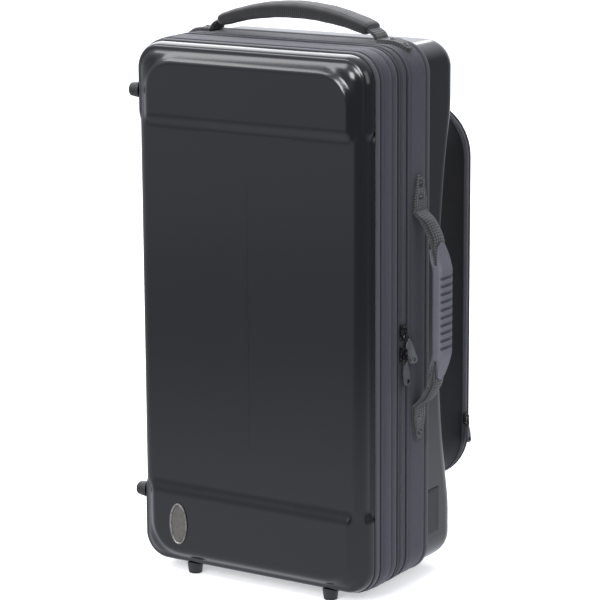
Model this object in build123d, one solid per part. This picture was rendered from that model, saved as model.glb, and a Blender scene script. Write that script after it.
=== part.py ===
from build123d import *
import math
import os

# Upright case for three trumpets: two moulded half shells that close face to face along a zip.
# The case stands on rubber feet, lid towards -Y, carrying handle towards +X, music pocket +Y.
# All sizes are in millimetres. The model is worked out about the case's own centre lines
# (X 0 middle of the shells, Y 0 middle of the zip, Z 0 underside of the shells) and is moved
# to its row frame, the middle of its own box on the ground, when it is written.

# ---------------------------------------------------------------- driving dimensions
case_width = 298.4          # outside of the moulded shells, left to right
case_height = 590.0         # outside of the moulded shells, bottom to top
corner_radius = 30.5        # shells' outline corners
shell_wall = 3.5            # moulded wall
lid_depth = 75.1            # zip middle to the lid's front face
base_depth = 127.5          # zip middle to the flat ends of the back face

# lid moulding
pillow_edge = 20.0          # front edge radius of the two proud pillows
panel_edge = 14.0           # front edge radius of the recessed panel
panel_sink = 4.0            # panel recess, on the front and on the sides
pillow_top_height = 87.0    # upper pillow, from the top down to its step
pillow_foot_height = 91.0   # lower pillow, from the bottom up to its step
step_round = 2.2            # rounding of the pillows' steps

# base moulding
base_edge = 24.0            # rear edge radius
dish_depth = 25.0           # hollow of the waisted back
dish_foot = 68.7            # where the hollow starts
dish_head = 511.7           # where the hollow ends
dish_blend = 150.0          # rounding between the hollow and the flat ends

# fabric bands, zip and trims round the mouth
band_proud = 3.0            # bands stand out from the shells
band_fit = 0.1              # between a band and the shell that it wraps
zip_half = 9.7              # zip zone, each side of the middle
lid_band_width = 33.7
lid_binding_width = 8.4
lid_binding_proud = 1.6
base_band_width = 48.5
piping_width = 7.0
piping_proud = 0.8          # piping beyond the band
rim_back = 3.0              # shell rims stop short of the zip zone
tape_thick = 1.0
tape_sink = 0.8             # tape lies below the band's outer face
chain_thick = 1.8
chain_half = 3.0            # each half of the coil, out from the middle
chain_gap = 0.7             # groove that the sliders' necks run in, each side of the middle
trim_gap = 0.15             # between a tape and a band's edge
zip_end_foot = 70.0         # the zip ends on the hinge side, above the lower corner
zip_end_head = 520.0        # and below the upper corner
hinge_thick = 1.4
hinge_gap = 0.4             # between the fabric hinge and what it joins

# sliders and pulls
slider_half_width = 6.2
slider_length = 17.0
slider_play = 0.25          # between the plates and the chain or tape
slider_top = 1.6
slider_under = 1.2
neck_thick = 0.9
neck_length = 4.0
bail_half = 1.2             # bridge half width
bail_length = 10.0
bail_bar = 1.2
link_wire = 1.8
link_play = 0.25
link_half = 3.3             # link's wire centre, out from its middle
link_length = 9.0
link_corner = 1.4
pull_width = 9.0
pull_thick = 3.0
pull_length = 26.0
pull_taper = 9.0            # tab widens over this length
pull_play = 0.05            # round the link's wire and the eyelet
eyelet_radius = 3.0
eyelet_wall = 0.6
eyelet_bore = 1.5
eyelet_flange = 0.5
eyelet_from_end = 4.5
upper_slider_z = 285.0
lower_slider_z = 261.4
bail_drop = 2.0             # pull pivots below each slider's middle
upper_pull_tilt = 24.0      # degrees, upper pull lies beside the lower slider
pull_lean = 5.0             # degrees, pulls lean off the band

# feet
foot_height = 11.0
foot_radius = 9.0
foot_tip_radius = 7.5
foot_x_left = -84.6
foot_x_right = 95.0
foot_z_low = 77.0
foot_from_head = 55.5       # upper side feet, below the top of the shells
lid_foot_y = -56.0
base_foot_y = 95.0
screw_radius = 3.4
screw_head = 1.6
screw_shank = 2.0
screw_hole_play = 0.1
foot_root = 4.0             # rubber behind the foot's seat, before it is cut to the moulding

# webbing tabs and their rivets
webbing_width = 26.5
webbing_thick = 3.2
tab_end_radius = 8.5
tab_base_length = 12.0      # full width before the tab narrows
webbing_fit = 0.1           # tabs off the band's face
rivet_radius = 4.0
rivet_head = 1.8
rivet_shank = 1.5
rivet_play = 0.1
rivet_from_end = 9.0
rivet_pitch = 15.5

# side handle
handle_from_zip = 33.0      # middle of both handles, behind the zip's middle
side_handle_length = 295.4  # over the riveted tabs
side_handle_middle = 304.9  # its height on the case
side_tab_length = 39.3
bend_gap = 1.2              # webbing at the bends, from its tab
grip_reach = 37.3           # outer face, from the band
grip_thick = 12.5
grip_width = 28.0
grip_half_length = 77.0
grip_straight = 47.0        # half length of the straight, grooved middle
grip_end_reach = 28.8
grip_end_thick = 9.0
grip_tip_width = 15.5       # width near the pointed sleeve ends
grip_tip_length = 26.0
grip_round = 4.0
groove_count = 10
groove_pitch = 8.6
groove_width = 3.4
groove_depth = 1.6
strap_play = 0.15           # webbing inside the grip or sleeve
riser_reach = 15.5          # webbing's knee, from the band
riser_along = 12.5          # and along the case from its bend
strap_corner = 6.0

# top handle
top_tab_start = 107.4       # bend of each tab, out from the middle
top_tab_length = 36.0       # along the band, over the corner
sleeve_width = 34.0
sleeve_thick = 18.0         # at the crown
sleeve_end_thick = 13.5
sleeve_end_round = 6.0      # blunt ends, seen from the lid
sleeve_round = 5.5          # long edges
sleeve_reach = 38.2         # top of the sleeve, from the band
sleeve_end_reach = 19.5     # top of the sleeve at its ends
sleeve_half = 96.0          # half length of the stiff sleeve
sleeve_neck = 6.5           # webbing runs straight on out of the sleeve
top_strap_foot = 2.9        # end of the webbing above the band
top_strap_x = 106.1

# badge and side label, both bare
badge_x = -93.5
badge_z = 49.5
badge_width = 23.6
badge_height = 48.0
badge_thick = 1.2
badge_rim = 1.5
badge_rim_thick = 2.0
badge_fit = 0.1
tag_width = 27.5
tag_height = 51.0
tag_foot = 39.0
tag_thick = 1.0
tag_from_band = 1.3
tag_fit = 0.1

# music pocket on the back
pocket_width = 280.0
pocket_height = 438.0
pocket_radius = 60.0
pocket_middle = 292.0
pocket_depth = 51.5         # pocket beyond the flat ends of the back face
pocket_wall = 2.5
pocket_cover_thick = 9.0    # cover with its padding, at the middle
pocket_dome = 3.5           # arch of the cover from foot to head
pocket_edge = 3.0           # rounding of the cover's outer edge
pocket_zip_half = 5.5
pocket_chain_half = 2.2
pocket_chain_gap = 0.6
pocket_chain_thick = 1.3
pocket_tape_thick = 0.8
pocket_tape_sink = 0.5
pocket_fit = 0.3            # fabric off the moulding
pocket_back_thick = 1.2
pocket_piping_width = 2.6   # cord round the cover's outer edge
pocket_piping_proud = 1.0
pocket_piping_sink = 2.0
pocket_hinge_foot = 150.0   # fabric hinge on the pocket's left edge
pocket_hinge_head = 430.0
pocket_slider_z = 150.0
pocket_slider_scale = 0.8   # a smaller size of the same slider

# padded interior
tray_fit = 0.3
side_pad = 7.0              # foam between the side lanes and the shells
tray_floor_thick = 10.0     # at the middle of the waisted back
tray_head = 26.0            # foam above the trumpets
tray_foot = 14.0
tray_lip = 1.5              # foam stops short of the zip's middle
lane_corner = 20.0
liner_front = 5.0
cushion_thick = 18.0
cushion_from_side = 16.0    # cushion's edge, in from the lanes
cushion_round = 8.0
cushion_from_foot = 42.0
cushion_from_head = 20.0
divider_thick = 6.0
divider_foot_x = 65.0       # dividers lean, wide at the foot for the middle bell
divider_head_x = 12.0
divider_front = 12.0
accessory_height = 52.0
accessory_wall_thick = 9.0
rack_width = 78.0
rack_depth = 48.0
rack_bore = 6.5
rack_bore_depth = 40.0
rack_bores = 3
rack_pitch = 24.0

# ---------------------------------------------------------------- worked-out places
half_width = case_width / 2
middle_z = case_height / 2
side_x = half_width + band_proud            # bands' outer side face
band_top = case_height + band_proud
step_head = case_height - pillow_top_height
step_foot = pillow_foot_height
lid_rim = -(zip_half + rim_back)
base_rim = zip_half + rim_back
lid_band_end = -(zip_half + lid_band_width)
base_band_end = zip_half + base_band_width
tape_out = band_proud - tape_sink
tape_in = tape_out - tape_thick
chain_out = tape_out + chain_thick
handle_y = handle_from_zip
foot_z_high = case_height - foot_from_head
pocket_back_y = base_depth + pocket_depth
pocket_cover_y = pocket_back_y - pocket_cover_thick
pocket_zip_y = pocket_cover_y - pocket_zip_half
tray_floor_y = base_depth - dish_depth - shell_wall - tray_floor_thick
liner_face = -lid_depth + shell_wall + tray_fit + panel_sink + liner_front
lane_half = half_width - shell_wall - tray_fit - side_pad
lane_foot_z = shell_wall + tray_fit + tray_foot
lane_head_z = case_height - shell_wall - tray_fit - tray_head
accessory_top = lane_foot_z + accessory_height
lanes_foot_z = accessory_top + accessory_wall_thick
cushion_foot_z = lane_foot_z + cushion_from_foot
cushion_head_z = lane_head_z - cushion_from_head
far = 2.0 * case_height                     # longer than anything in the case

# row frame: middle of the whole box, feet on the ground
box_left = -(half_width + foot_height)
box_right = side_x + grip_reach
box_front = -(lid_depth + badge_rim_thick)
box_back = pocket_back_y
to_row = Pos(-(box_left + box_right) / 2, -(box_front + box_back) / 2, foot_height)


# ---------------------------------------------------------------- shared shapes
def facing(y, x=0.0, z=0.0):
    """Drawing plane across the case at y: sketch x is X and sketch y is Z; it faces -Y."""
    return Plane(origin=(x, y, z), x_dir=(1, 0, 0), z_dir=(0, -1, 0))


def block(x_low, x_high, y_low, y_high, z_low, z_high):
    """Plain block between two corners."""
    centre = Pos((x_low + x_high) / 2, (y_low + y_high) / 2, (z_low + z_high) / 2)
    return centre * Box(x_high - x_low, y_high - y_low, z_high - z_low)


def prism(grow, y_low, y_high):
    """Case outline, grown all round, from y_low to y_high."""
    outline = RectangleRounded(case_width + 2 * grow, case_height + 2 * grow, corner_radius + grow)
    return extrude(facing(y_high, z=middle_z) * outline, y_high - y_low)


def ring(grow_in, grow_out, y_low, y_high):
    """Hoop that follows the case outline."""
    return prism(grow_out, y_low, y_high) - prism(grow_in, y_low - 1, y_high + 1)


def round_loop(solid, y, radius):
    """Round every edge that lies across the case at y."""
    return fillet(solid.edges().filter_by_position(Axis.Y, y - 0.01, y + 0.01), radius)


# ---------------------------------------------------------------- mouldings
def lid_form(inset, rim):
    """Lid moulding set in by inset: two proud pillows with a recessed panel between them."""
    front = -lid_depth + inset
    pillow = round_loop(prism(-inset, front, rim), front, pillow_edge - inset)
    sunk = front + panel_sink
    panel = round_loop(prism(-inset - panel_sink, sunk, rim), sunk, panel_edge - inset)
    cuts = [
        (step_head + inset, block(-far, far, -far, far, step_head + inset, far)),
        (step_foot - inset, block(-far, far, -far, far, -far, step_foot - inset)),
    ]
    form = panel
    for z, keep in cuts:
        end = pillow & keep
        edges = end.edges().filter_by_position(Axis.Z, z - 0.01, z + 0.01)
        edges = edges.filter_by(lambda e: e.center().Y < rim - 0.1)
        form = form + fillet(edges, step_round)
    return form


def base_form(inset, rim):
    """Base moulding set in by inset: rounded block with a waisted, hollowed back."""
    back = base_depth - inset
    above = case_height + 50
    sides = Polyline((back, dish_foot), (back, -50), (rim, -50), (rim, above), (back, above),
                     (back, dish_head))
    dish = ThreePointArc((back, dish_head), (back - dish_depth, (dish_foot + dish_head) / 2),
                         (back, dish_foot))
    profile = make_face(sides + dish)
    ends = profile.vertices().filter_by(lambda v: abs(v.X - back) < 0.01 and 0 < v.Y < case_height)
    profile = fillet(ends, dish_blend)
    slab = extrude(Plane.YZ * profile, case_width, both=True)
    form = prism(-inset, rim, back) & slab

    def rear_edge(edge):
        """True for the outline of the back face, false for the seams across it."""
        middle = edge.center()
        across = abs(middle.X) < 1 and 1 < middle.Z - inset < case_height - 2 * inset - 1
        return middle.Y > back - dish_depth - 8 and not across and edge.length > 0.5

    return fillet(form.edges().filter_by(rear_edge), base_edge - inset)


# ---------------------------------------------------------------- sliders and pulls
def zip_slider(x_under, x_over, y, z, scale=1.0):
    """Slider across a chain: plates under the tape and over the chain, joined by a thin neck.

    Its bridge stands on the outer plate and takes the pull's link.
    """
    top_low = x_over + slider_play
    top_high = top_low + slider_top * scale
    under_high = x_under - slider_play
    under_low = under_high - slider_under * scale
    half = slider_half_width * scale
    length = slider_length * scale
    corner = 0.38 * half
    outline = RectangleRounded(2 * half, length, corner)
    top = extrude(Plane(origin=(top_low, y, z), x_dir=(0, 1, 0), z_dir=(1, 0, 0)) * outline,
                  top_high - top_low)
    under = extrude(Plane(origin=(under_low, y, z), x_dir=(0, 1, 0), z_dir=(1, 0, 0)) * outline,
                    under_high - under_low)
    neck_half = neck_thick * scale / 2
    neck = block(under_low, top_high, y - neck_half, y + neck_half,
                 z + length / 2 - neck_length * scale - 1, z + length / 2 - 1)
    rise = (link_wire + bail_bar) * scale + 2 * link_play
    bail = block(top_high - 0.2, top_high + rise, y - bail_half * scale, y + bail_half * scale,
                 z - bail_length * scale / 2, z + bail_length * scale / 2)
    crown = bail.edges().filter_by(Axis.Y).group_by(Axis.X)[-1]
    bail = fillet(crown, bail_bar * scale * 0.9)
    eye_half = bail_length * scale / 2 - bail_bar * scale
    eye = block(top_high, top_high + rise - bail_bar * scale, y - far, y + far,
                z - eye_half, z + eye_half)
    return top + under + neck + (bail - eye)


def pull_pivot(x_over, y, z, scale=1.0):
    """Middle of the link's upper bar, in the slider's bridge."""
    x = x_over + slider_play + (slider_top + link_wire / 2) * scale + link_play
    return Pos(x, y, z - bail_drop * scale)


def pull_parts(pivot, tilt, scale=1.0):
    """Wire link, tab and eyelet of a pull, hanging from pivot."""
    hang = pivot * Rot(tilt, 0, 0) * Rot(0, -pull_lean, 0)
    wire = link_wire * scale / 2
    half = link_half * scale
    drop = link_length * scale
    path = Plane.YZ * Pos(0, -drop / 2) * RectangleRounded(2 * half, drop, link_corner * scale)
    path = path.wire()
    start = Plane(origin=path @ 0, z_dir=path % 0)
    link = sweep(start * Circle(wire), path)
    neck = half - wire - 0.25 * scale
    wide = pull_width * scale / 2
    top = -drop + wire + 1.2 * scale
    shoulder = -drop - wire - 0.4 * scale
    foot = top - pull_length * scale
    outline = Polyline((-neck, top), (neck, top), (neck, shoulder),
                       (wide, shoulder - pull_taper * scale), (wide, foot), (-wide, foot),
                       (-wide, shoulder - pull_taper * scale), (-neck, shoulder), close=True)
    face = make_face(outline)
    ends = face.vertices().filter_by(lambda v: abs(v.Y - foot) < 0.01)
    face = fillet(ends, wide * 0.55)
    thick = pull_thick * scale
    tab = extrude(Plane.YZ * face, thick / 2, both=True)
    tab -= Pos(0, 0, -drop) * Rot(90, 0, 0) * Cylinder(wire + pull_play, 2 * half)
    eye = Pos(0, 0, foot + eyelet_from_end * scale) * Rot(0, 90, 0)
    barrel = (eyelet_bore + eyelet_wall) * scale
    tab -= eye * Cylinder(barrel + pull_play, 2 * thick)
    flange = eyelet_flange * scale
    span = thick + 2 * pull_play
    eyelet = Cylinder(barrel, span)
    for side in (-1, 1):
        rim = Cylinder(eyelet_radius * scale, flange)
        outer = rim.edges().filter_by(GeomType.CIRCLE).sort_by(Axis.Z)[0 if side < 0 else -1]
        eyelet += Pos(0, 0, side * (span + flange) / 2) * fillet(outer, flange * 0.8)
    eyelet = eye * (eyelet - Cylinder(eyelet_bore * scale, 2 * span + 4 * flange))
    return hang * link, hang * tab, hang * eyelet


# ---------------------------------------------------------------- webbing tabs and rivets
def side_frame(side, along):
    """Place on the side band, along from a tab's bend: y runs away from the handle, z off the band."""
    z = side_handle_middle + side * (side_handle_length / 2 - side_tab_length + along)
    return Plane(origin=(side_x, handle_y, z), x_dir=(0, side, 0), z_dir=(1, 0, 0))


def corner_frame(side, along):
    """The same on the top band, where the tab lies flat and then follows the rounded corner."""
    radius = corner_radius + band_proud
    centre_x = half_width - corner_radius
    flat = centre_x - top_tab_start
    angle = max(0.0, along - flat) / radius
    out = (side * math.sin(angle), 0, math.cos(angle))
    x = min(centre_x, top_tab_start + along)
    origin = (side * x + radius * out[0], handle_y, case_height - corner_radius + radius * out[2])
    return Plane(origin=origin, x_dir=(0, -side, 0), z_dir=out)


tab_places = {
    "side_handle_upper_tab": (side_frame, 1, side_tab_length),
    "side_handle_lower_tab": (side_frame, -1, side_tab_length),
    "top_handle_right_tab": (corner_frame, 1, top_tab_length),
    "top_handle_left_tab": (corner_frame, -1, top_tab_length),
}


def rivet_frames():
    """Frame of every handle rivet, on the band's face."""
    return [frame(side, length - rivet_from_end - i * rivet_pitch)
            for frame, side, length in tab_places.values() for i in range(2)]


def webbing_tab(frame, side, length):
    """Tongue of webbing that follows the band, wide at its bend and round at its end."""
    end = Pos(0, length / 2 - tab_end_radius) * Circle(tab_end_radius)
    base = Pos(0, (tab_base_length - length) / 2) * Rectangle(webbing_width, tab_base_length)
    outline = make_face(Wire(make_hull(end.edges() + base.edges()).edges()))
    middle = frame(side, length / 2)
    low = band_proud + webbing_fit
    tab = ring(low, low + webbing_thick, handle_y - webbing_width, handle_y + webbing_width)
    tab &= extrude(middle * outline, 4 * webbing_thick, both=True)
    for place in rivet_frames():
        tab -= place.location * Cylinder(rivet_shank + rivet_play, 4 * webbing_thick)
    return tab


def handle_rivet():
    """Domed rivet, from the tab's outer face down to the moulding."""
    face = webbing_fit + webbing_thick
    ball = (rivet_radius ** 2 + rivet_head ** 2) / (2 * rivet_head)
    dome = Pos(0, 0, face + rivet_head - ball) * Sphere(ball)
    head = dome & (Pos(0, 0, face + rivet_head / 2) * Cylinder(rivet_radius, rivet_head))
    low = -(band_proud - band_fit)
    return head + Pos(0, 0, (low + face) / 2) * Cylinder(rivet_shank, face - low)


# ---------------------------------------------------------------- handles
def ribbon(path, grow=0.0):
    """Webbing, grown all round, along a path in the XZ plane."""
    start = Plane(origin=path @ 0, x_dir=(0, 1, 0), z_dir=path % 0)
    return sweep(start * Rectangle(webbing_width + 2 * grow, webbing_thick + 2 * grow), path)


def side_strap_path():
    """Middle of the side handle's webbing: up from one bend, through the grip, down again."""
    bend = side_handle_length / 2 - side_tab_length
    foot = webbing_fit + webbing_thick / 2 + bend_gap
    core = grip_reach - grip_thick / 2
    end_core = grip_end_reach - grip_end_thick / 2
    upper = [(foot, bend - bend_gap), (riser_reach, bend - riser_along), (end_core, grip_half_length),
             (core, grip_straight)]
    lower = [(reach, -along) for reach, along in reversed(upper)]
    points = [(side_x + reach, handle_y, side_handle_middle + along)
              for reach, along in upper + lower]
    return FilletPolyline(*points, radius=strap_corner)


def side_grip():
    """Moulded grip: bowed bar with pointed sleeve ends and a row of finger grooves."""
    end_low = grip_end_reach - grip_end_thick
    low = grip_reach - grip_thick
    inner_end = grip_half_length - grip_end_thick
    corners = [(end_low, -inner_end), (grip_end_reach, -grip_half_length),
               (grip_reach, -grip_straight), (grip_reach, grip_straight),
               (grip_end_reach, grip_half_length), (end_low, inner_end),
               (low, grip_straight), (low, -grip_straight)]
    side = make_face(Polyline(*corners, close=True))
    knees = side.vertices().filter_by(lambda v: abs(abs(v.Y) - grip_straight) < 0.01)
    side = fillet(knees, grip_straight * 0.4)
    bar = extrude(facing(0) * side, grip_width / 2, both=True)
    long_edges = bar.edges().filter_by(lambda e: abs(abs(e.center().Y) - grip_width / 2) < 0.01)
    bar = fillet(long_edges, grip_round)
    half = grip_width / 2
    tip = grip_tip_width / 2
    knee = grip_half_length - grip_tip_length
    shoulder = grip_half_length - tip * 0.6
    sleeve = [(half, knee), (tip, shoulder), (0, grip_half_length), (-tip, shoulder), (-half, knee)]
    sleeve += [(-y, -z) for y, z in sleeve]
    bar &= extrude(Plane.YZ * make_face(Polyline(*sleeve, close=True)), far, both=True)
    first = -(groove_count - 1) / 2 * groove_pitch
    for i in range(groove_count):
        z = first + i * groove_pitch
        groove = Pos(grip_reach, 0, z) * Box(2 * groove_depth, 2 * grip_width, groove_width)
        bar -= fillet(groove.edges().filter_by(Axis.Y).group_by(Axis.X)[0], groove_width * 0.3)
    bar = Pos(side_x, handle_y, side_handle_middle) * bar
    return bar - ribbon(side_strap_path(), strap_play)


def sleeve_arc(end_depth, crown_depth):
    """Arc along the top handle, sunk below the padded sleeve's top by these depths."""
    ends = band_top + sleeve_end_reach - end_depth
    crown = band_top + sleeve_reach - crown_depth
    return ThreePointArc((-sleeve_half, handle_y, ends), (0, handle_y, crown),
                         (sleeve_half, handle_y, ends))


def strap_arc():
    """Middle of the padded sleeve, where the top handle's webbing runs."""
    return sleeve_arc(sleeve_end_thick / 2, sleeve_thick / 2)


def top_strap():
    """Top handle's webbing: arch through the sleeve, with a bent leg at each end."""
    arc = strap_arc()
    strap = ribbon(arc)
    for at, sign in ((1, 1), (0, -1)):
        out = arc % at * sign
        start = arc @ at
        knee = start + out * sleeve_neck
        foot = Vector(sign * top_strap_x, handle_y, band_top + top_strap_foot)
        strap += ribbon(FilletPolyline(start, knee, foot, radius=strap_corner))
    return strap


def top_sleeve():
    """Padded sleeve, thick at its crown and blunt at its ends, slotted for the webbing."""
    top = sleeve_arc(0, 0)
    low = sleeve_arc(sleeve_end_thick, sleeve_thick)
    side = make_face(top + low + Line(top @ 0, low @ 0) + Line(top @ 1, low @ 1))
    side = fillet(side.vertices(), sleeve_end_round)
    sleeve = extrude(side, sleeve_width / 2, both=True)
    faces = (handle_y - sleeve_width / 2, handle_y + sleeve_width / 2)
    rims = [e for y in faces for e in sleeve.edges().filter_by_position(Axis.Y, y - 0.01, y + 0.01)]
    return fillet(rims, sleeve_round) - ribbon(strap_arc(), strap_play)


# ---------------------------------------------------------------- feet, badge, label
def foot_frames():
    """Each foot's place on its moulding, with z pointing out of the case."""
    frames = {}
    for body, y in (("lid", lid_foot_y), ("base", base_foot_y)):
        for name, x in (("bottom_left", foot_x_left), ("bottom_right", foot_x_right)):
            frames[f"{body}_foot_{name}"] = Plane(origin=(x, y, 0), z_dir=(0, 0, -1))
        for name, z in (("side_low", foot_z_low), ("side_high", foot_z_high)):
            frames[f"{body}_foot_{name}"] = Plane(origin=(-half_width, y, z), z_dir=(-1, 0, 0))
    return frames


def rubber_foot():
    """Tapered rubber foot with a root to be cut to its seat, bored and counterbored."""
    foot = Pos(0, 0, foot_height / 2) * Cone(foot_radius, foot_tip_radius, foot_height)
    foot = fillet(foot.edges().filter_by(GeomType.CIRCLE).sort_by(Axis.Z)[-1], 1.2)
    foot += Pos(0, 0, -foot_root / 2) * Cylinder(foot_radius, foot_root)
    depth = foot_height / 2
    foot -= Pos(0, 0, foot_height - depth / 2) * Cylinder(screw_radius + screw_hole_play * 3, depth)
    return foot - Cylinder(screw_shank + screw_hole_play, 2 * foot_height)


def foot_seats():
    """What each body's feet are cut to: its moulding, and on the lid the edge binding too."""
    edge = lid_band_end - lid_binding_width - band_fit
    binding_room = ring(-1, lid_binding_proud + band_fit, edge, lid_rim)
    return {"lid": lid_form(0, lid_rim) + binding_room, "base": base_form(0, base_rim)}


def foot_screw():
    """Screw that holds a foot, its head at the bottom of the counterbore."""
    seat = foot_height / 2
    head = Pos(0, 0, seat + screw_head / 2) * Cylinder(screw_radius, screw_head)
    head -= Pos(0, 0, seat + screw_head) * Box(2 * screw_radius, 0.8, 1.2)
    head -= Pos(0, 0, seat + screw_head) * Box(0.8, 2 * screw_radius, 1.2)
    return head + Pos(0, 0, seat / 2) * Cylinder(screw_shank, seat)


def badge_oval(grow, thick):
    """Oval disc on the lower pillow's front face."""
    oval = Ellipse(badge_width / 2 + grow, badge_height / 2 + grow)
    return extrude(facing(-lid_depth, badge_x, badge_z) * oval, thick)


# ---------------------------------------------------------------- pocket
def pocket_prism(grow, y_low, y_high):
    """Pocket outline, grown all round, from y_low to y_high."""
    outline = RectangleRounded(pocket_width + 2 * grow, pocket_height + 2 * grow,
                               pocket_radius + grow)
    return extrude(facing(y_high, z=pocket_middle) * outline, y_high - y_low)


def pocket_ring(grow_in, grow_out, y_low, y_high):
    """Hoop that follows the pocket's outline."""
    return pocket_prism(grow_out, y_low, y_high) - pocket_prism(grow_in, y_low - 1, y_high + 1)


def pocket_zip_gap():
    """Stretch of the pocket's left edge that has the fabric hinge instead of the zip."""
    return block(-far, 0, -far, far, pocket_hinge_foot, pocket_hinge_head)


def pocket_cover():
    """Padded cover: arched from foot to head, with a rounded outer edge, rebated for its piping."""
    panel = round_loop(pocket_prism(0, pocket_cover_y, pocket_back_y), pocket_back_y, pocket_edge)
    panel -= pocket_ring(-pocket_piping_sink, far, pocket_cover_y - 1,
                         pocket_cover_y + pocket_piping_width)
    rise = pocket_height / 2
    radius = (rise ** 2 + pocket_dome ** 2) / (2 * pocket_dome)
    arch = Pos(0, pocket_back_y - radius, pocket_middle) * Rot(0, 90, 0) * Cylinder(radius, far)
    return panel & arch


def pocket_piping():
    """Corded edge between the cover and its zip."""
    high = pocket_cover_y + pocket_piping_width
    cord = pocket_ring(-pocket_piping_sink, pocket_piping_proud, pocket_cover_y, high)
    return round_loop(round_loop(cord, high, pocket_piping_proud * 0.9), pocket_cover_y,
                      pocket_piping_proud * 0.9)


# ---------------------------------------------------------------- padded interior
def trumpet_tray():
    """Foam tray behind the three lanes: floor pad and the surround that frames the lanes."""
    form = base_form(shell_wall + tray_fit, tray_lip)
    floor = form & block(-far, far, tray_floor_y, far, -far, far)
    surround = form & block(-far, far, -far, tray_floor_y - tray_fit, -far, far)
    width = 2 * lane_half
    height = lane_head_z - lane_foot_z
    hollow = RectangleRounded(width, height, lane_corner)
    centre_z = (lane_head_z + lane_foot_z) / 2
    surround -= extrude(facing(far, z=centre_z) * hollow, 2 * far)
    return floor, surround


def lane_divider(side):
    """Leaning pad between two lanes, wide apart at the foot and close at the head."""
    foot = (side * divider_foot_x, lanes_foot_z)
    head = (side * divider_head_x, lane_head_z)
    run = Vector(head[0] - foot[0], head[1] - foot[1])
    lean = math.degrees(math.atan2(run.X, run.Y))
    centre = Pos((foot[0] + head[0]) / 2, 0, (foot[1] + head[1]) / 2)
    pad = centre * Rot(0, lean, 0) * Box(divider_thick, far, 2 * run.length)
    return pad & block(-lane_half, lane_half, divider_front, tray_floor_y - tray_fit,
                       lanes_foot_z + tray_fit, lane_head_z - tray_fit)


def mouthpiece_rack():
    """Foam block at the right of the accessory bay, bored for the spare mouthpieces."""
    right = lane_half - tray_fit
    back = tray_floor_y - tray_fit
    rack = block(right - rack_width, right, back - rack_depth, back,
                 lane_foot_z + lane_corner, accessory_top - tray_fit)
    for i in range(rack_bores):
        x = right - rack_width / 2 + (i - (rack_bores - 1) / 2) * rack_pitch
        bore = extrude(facing(back - rack_depth + rack_bore_depth, x,
                              (lane_foot_z + lane_corner + accessory_top) / 2)
                       * Circle(rack_bore), far)
        rack -= bore
    return rack


def lid_liner():
    """Plush liner of the lid, thin on the sides and thicker behind the front."""
    edge = shell_wall + tray_fit
    hollow = RectangleRounded(2 * lane_half, lane_head_z - lane_foot_z, lane_corner)
    centre_z = (lane_head_z + lane_foot_z) / 2
    cavity = extrude(facing(far, z=centre_z) * hollow, far - liner_face)
    return lid_form(edge, -tray_lip) - cavity


def lid_cushion():
    """Padded cushion on the lid liner that holds the trumpets down."""
    low = liner_face + tray_fit
    pad = RectangleRounded(2 * (lane_half - cushion_from_side), cushion_head_z - cushion_foot_z,
                           lane_corner)
    pad = extrude(facing(low + cushion_thick, z=(cushion_foot_z + cushion_head_z) / 2) * pad,
                  cushion_thick)
    return round_loop(pad, low + cushion_thick, cushion_round)


# ---------------------------------------------------------------- assembly
parts = {}

parts["lid_shell"] = lid_form(0, lid_rim) - lid_form(shell_wall, 0)
parts["base_shell"] = base_form(0, base_rim) - base_form(shell_wall, 0)

band = ring(band_fit, band_proud, lid_band_end, -zip_half)
parts["lid_band"] = band
binding = ring(band_fit, lid_binding_proud, lid_band_end - lid_binding_width, lid_band_end)
parts["lid_binding"] = binding
band = ring(band_fit, band_proud, zip_half, base_band_end - piping_width)
for place in rivet_frames():
    band -= place.location * Cylinder(rivet_shank + rivet_play, 4 * band_proud)
parts["base_band"] = band
piping = ring(band_fit, band_proud + piping_proud, base_band_end - piping_width, base_band_end)
parts["base_piping"] = round_loop(round_loop(piping, base_band_end, piping_proud),
                                  base_band_end - piping_width, piping_proud)

hinge_side = block(-far, 0, -far, far, zip_end_foot, zip_end_head)
tape_end = zip_half - trim_gap
for body, side in (("lid", -1), ("base", 1)):
    low, high = sorted((side * chain_gap, side * tape_end))
    parts[f"{body}_zip_tape"] = ring(tape_in, tape_out, low, high) - hinge_side
    low, high = sorted((side * chain_gap, side * chain_half))
    parts[f"{body}_zip_chain"] = ring(tape_out, chain_out, low, high) - hinge_side
hinge = ring(band_proud - hinge_thick, band_proud, hinge_gap - zip_half, zip_half - hinge_gap)
parts["fabric_hinge"] = hinge & block(-far, 0, -far, far, zip_end_foot + hinge_gap,
                                      zip_end_head - hinge_gap)

x_under = half_width + tape_in
x_over = half_width + chain_out
for name, z, tilt in (("upper", upper_slider_z, upper_pull_tilt), ("lower", lower_slider_z, 0.0)):
    parts[f"{name}_slider"] = zip_slider(x_under, x_over, 0, z)
    link, tab, eyelet = pull_parts(pull_pivot(x_over, 0, z), tilt)
    parts[f"{name}_pull_link"] = link
    parts[f"{name}_pull_tab"] = tab
    parts[f"{name}_pull_eyelet"] = eyelet

for name, place in tab_places.items():
    parts[name] = webbing_tab(*place)
parts["handle_rivets"] = Compound([frame.location * handle_rivet() for frame in rivet_frames()])
parts["side_handle_webbing"] = ribbon(side_strap_path())
parts["side_handle_grip"] = side_grip()
parts["top_handle_webbing"] = top_strap()
parts["top_handle_sleeve"] = top_sleeve()

screws = {"lid": [], "base": []}
seats = foot_seats()
for name, frame in foot_frames().items():
    body = name.split("_")[0]
    parts[name] = frame.location * rubber_foot() - seats[body]
    screws[body].append(frame.location * foot_screw())
for body, solids in screws.items():
    parts[f"{body}_foot_screws"] = Compound(solids)

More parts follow.
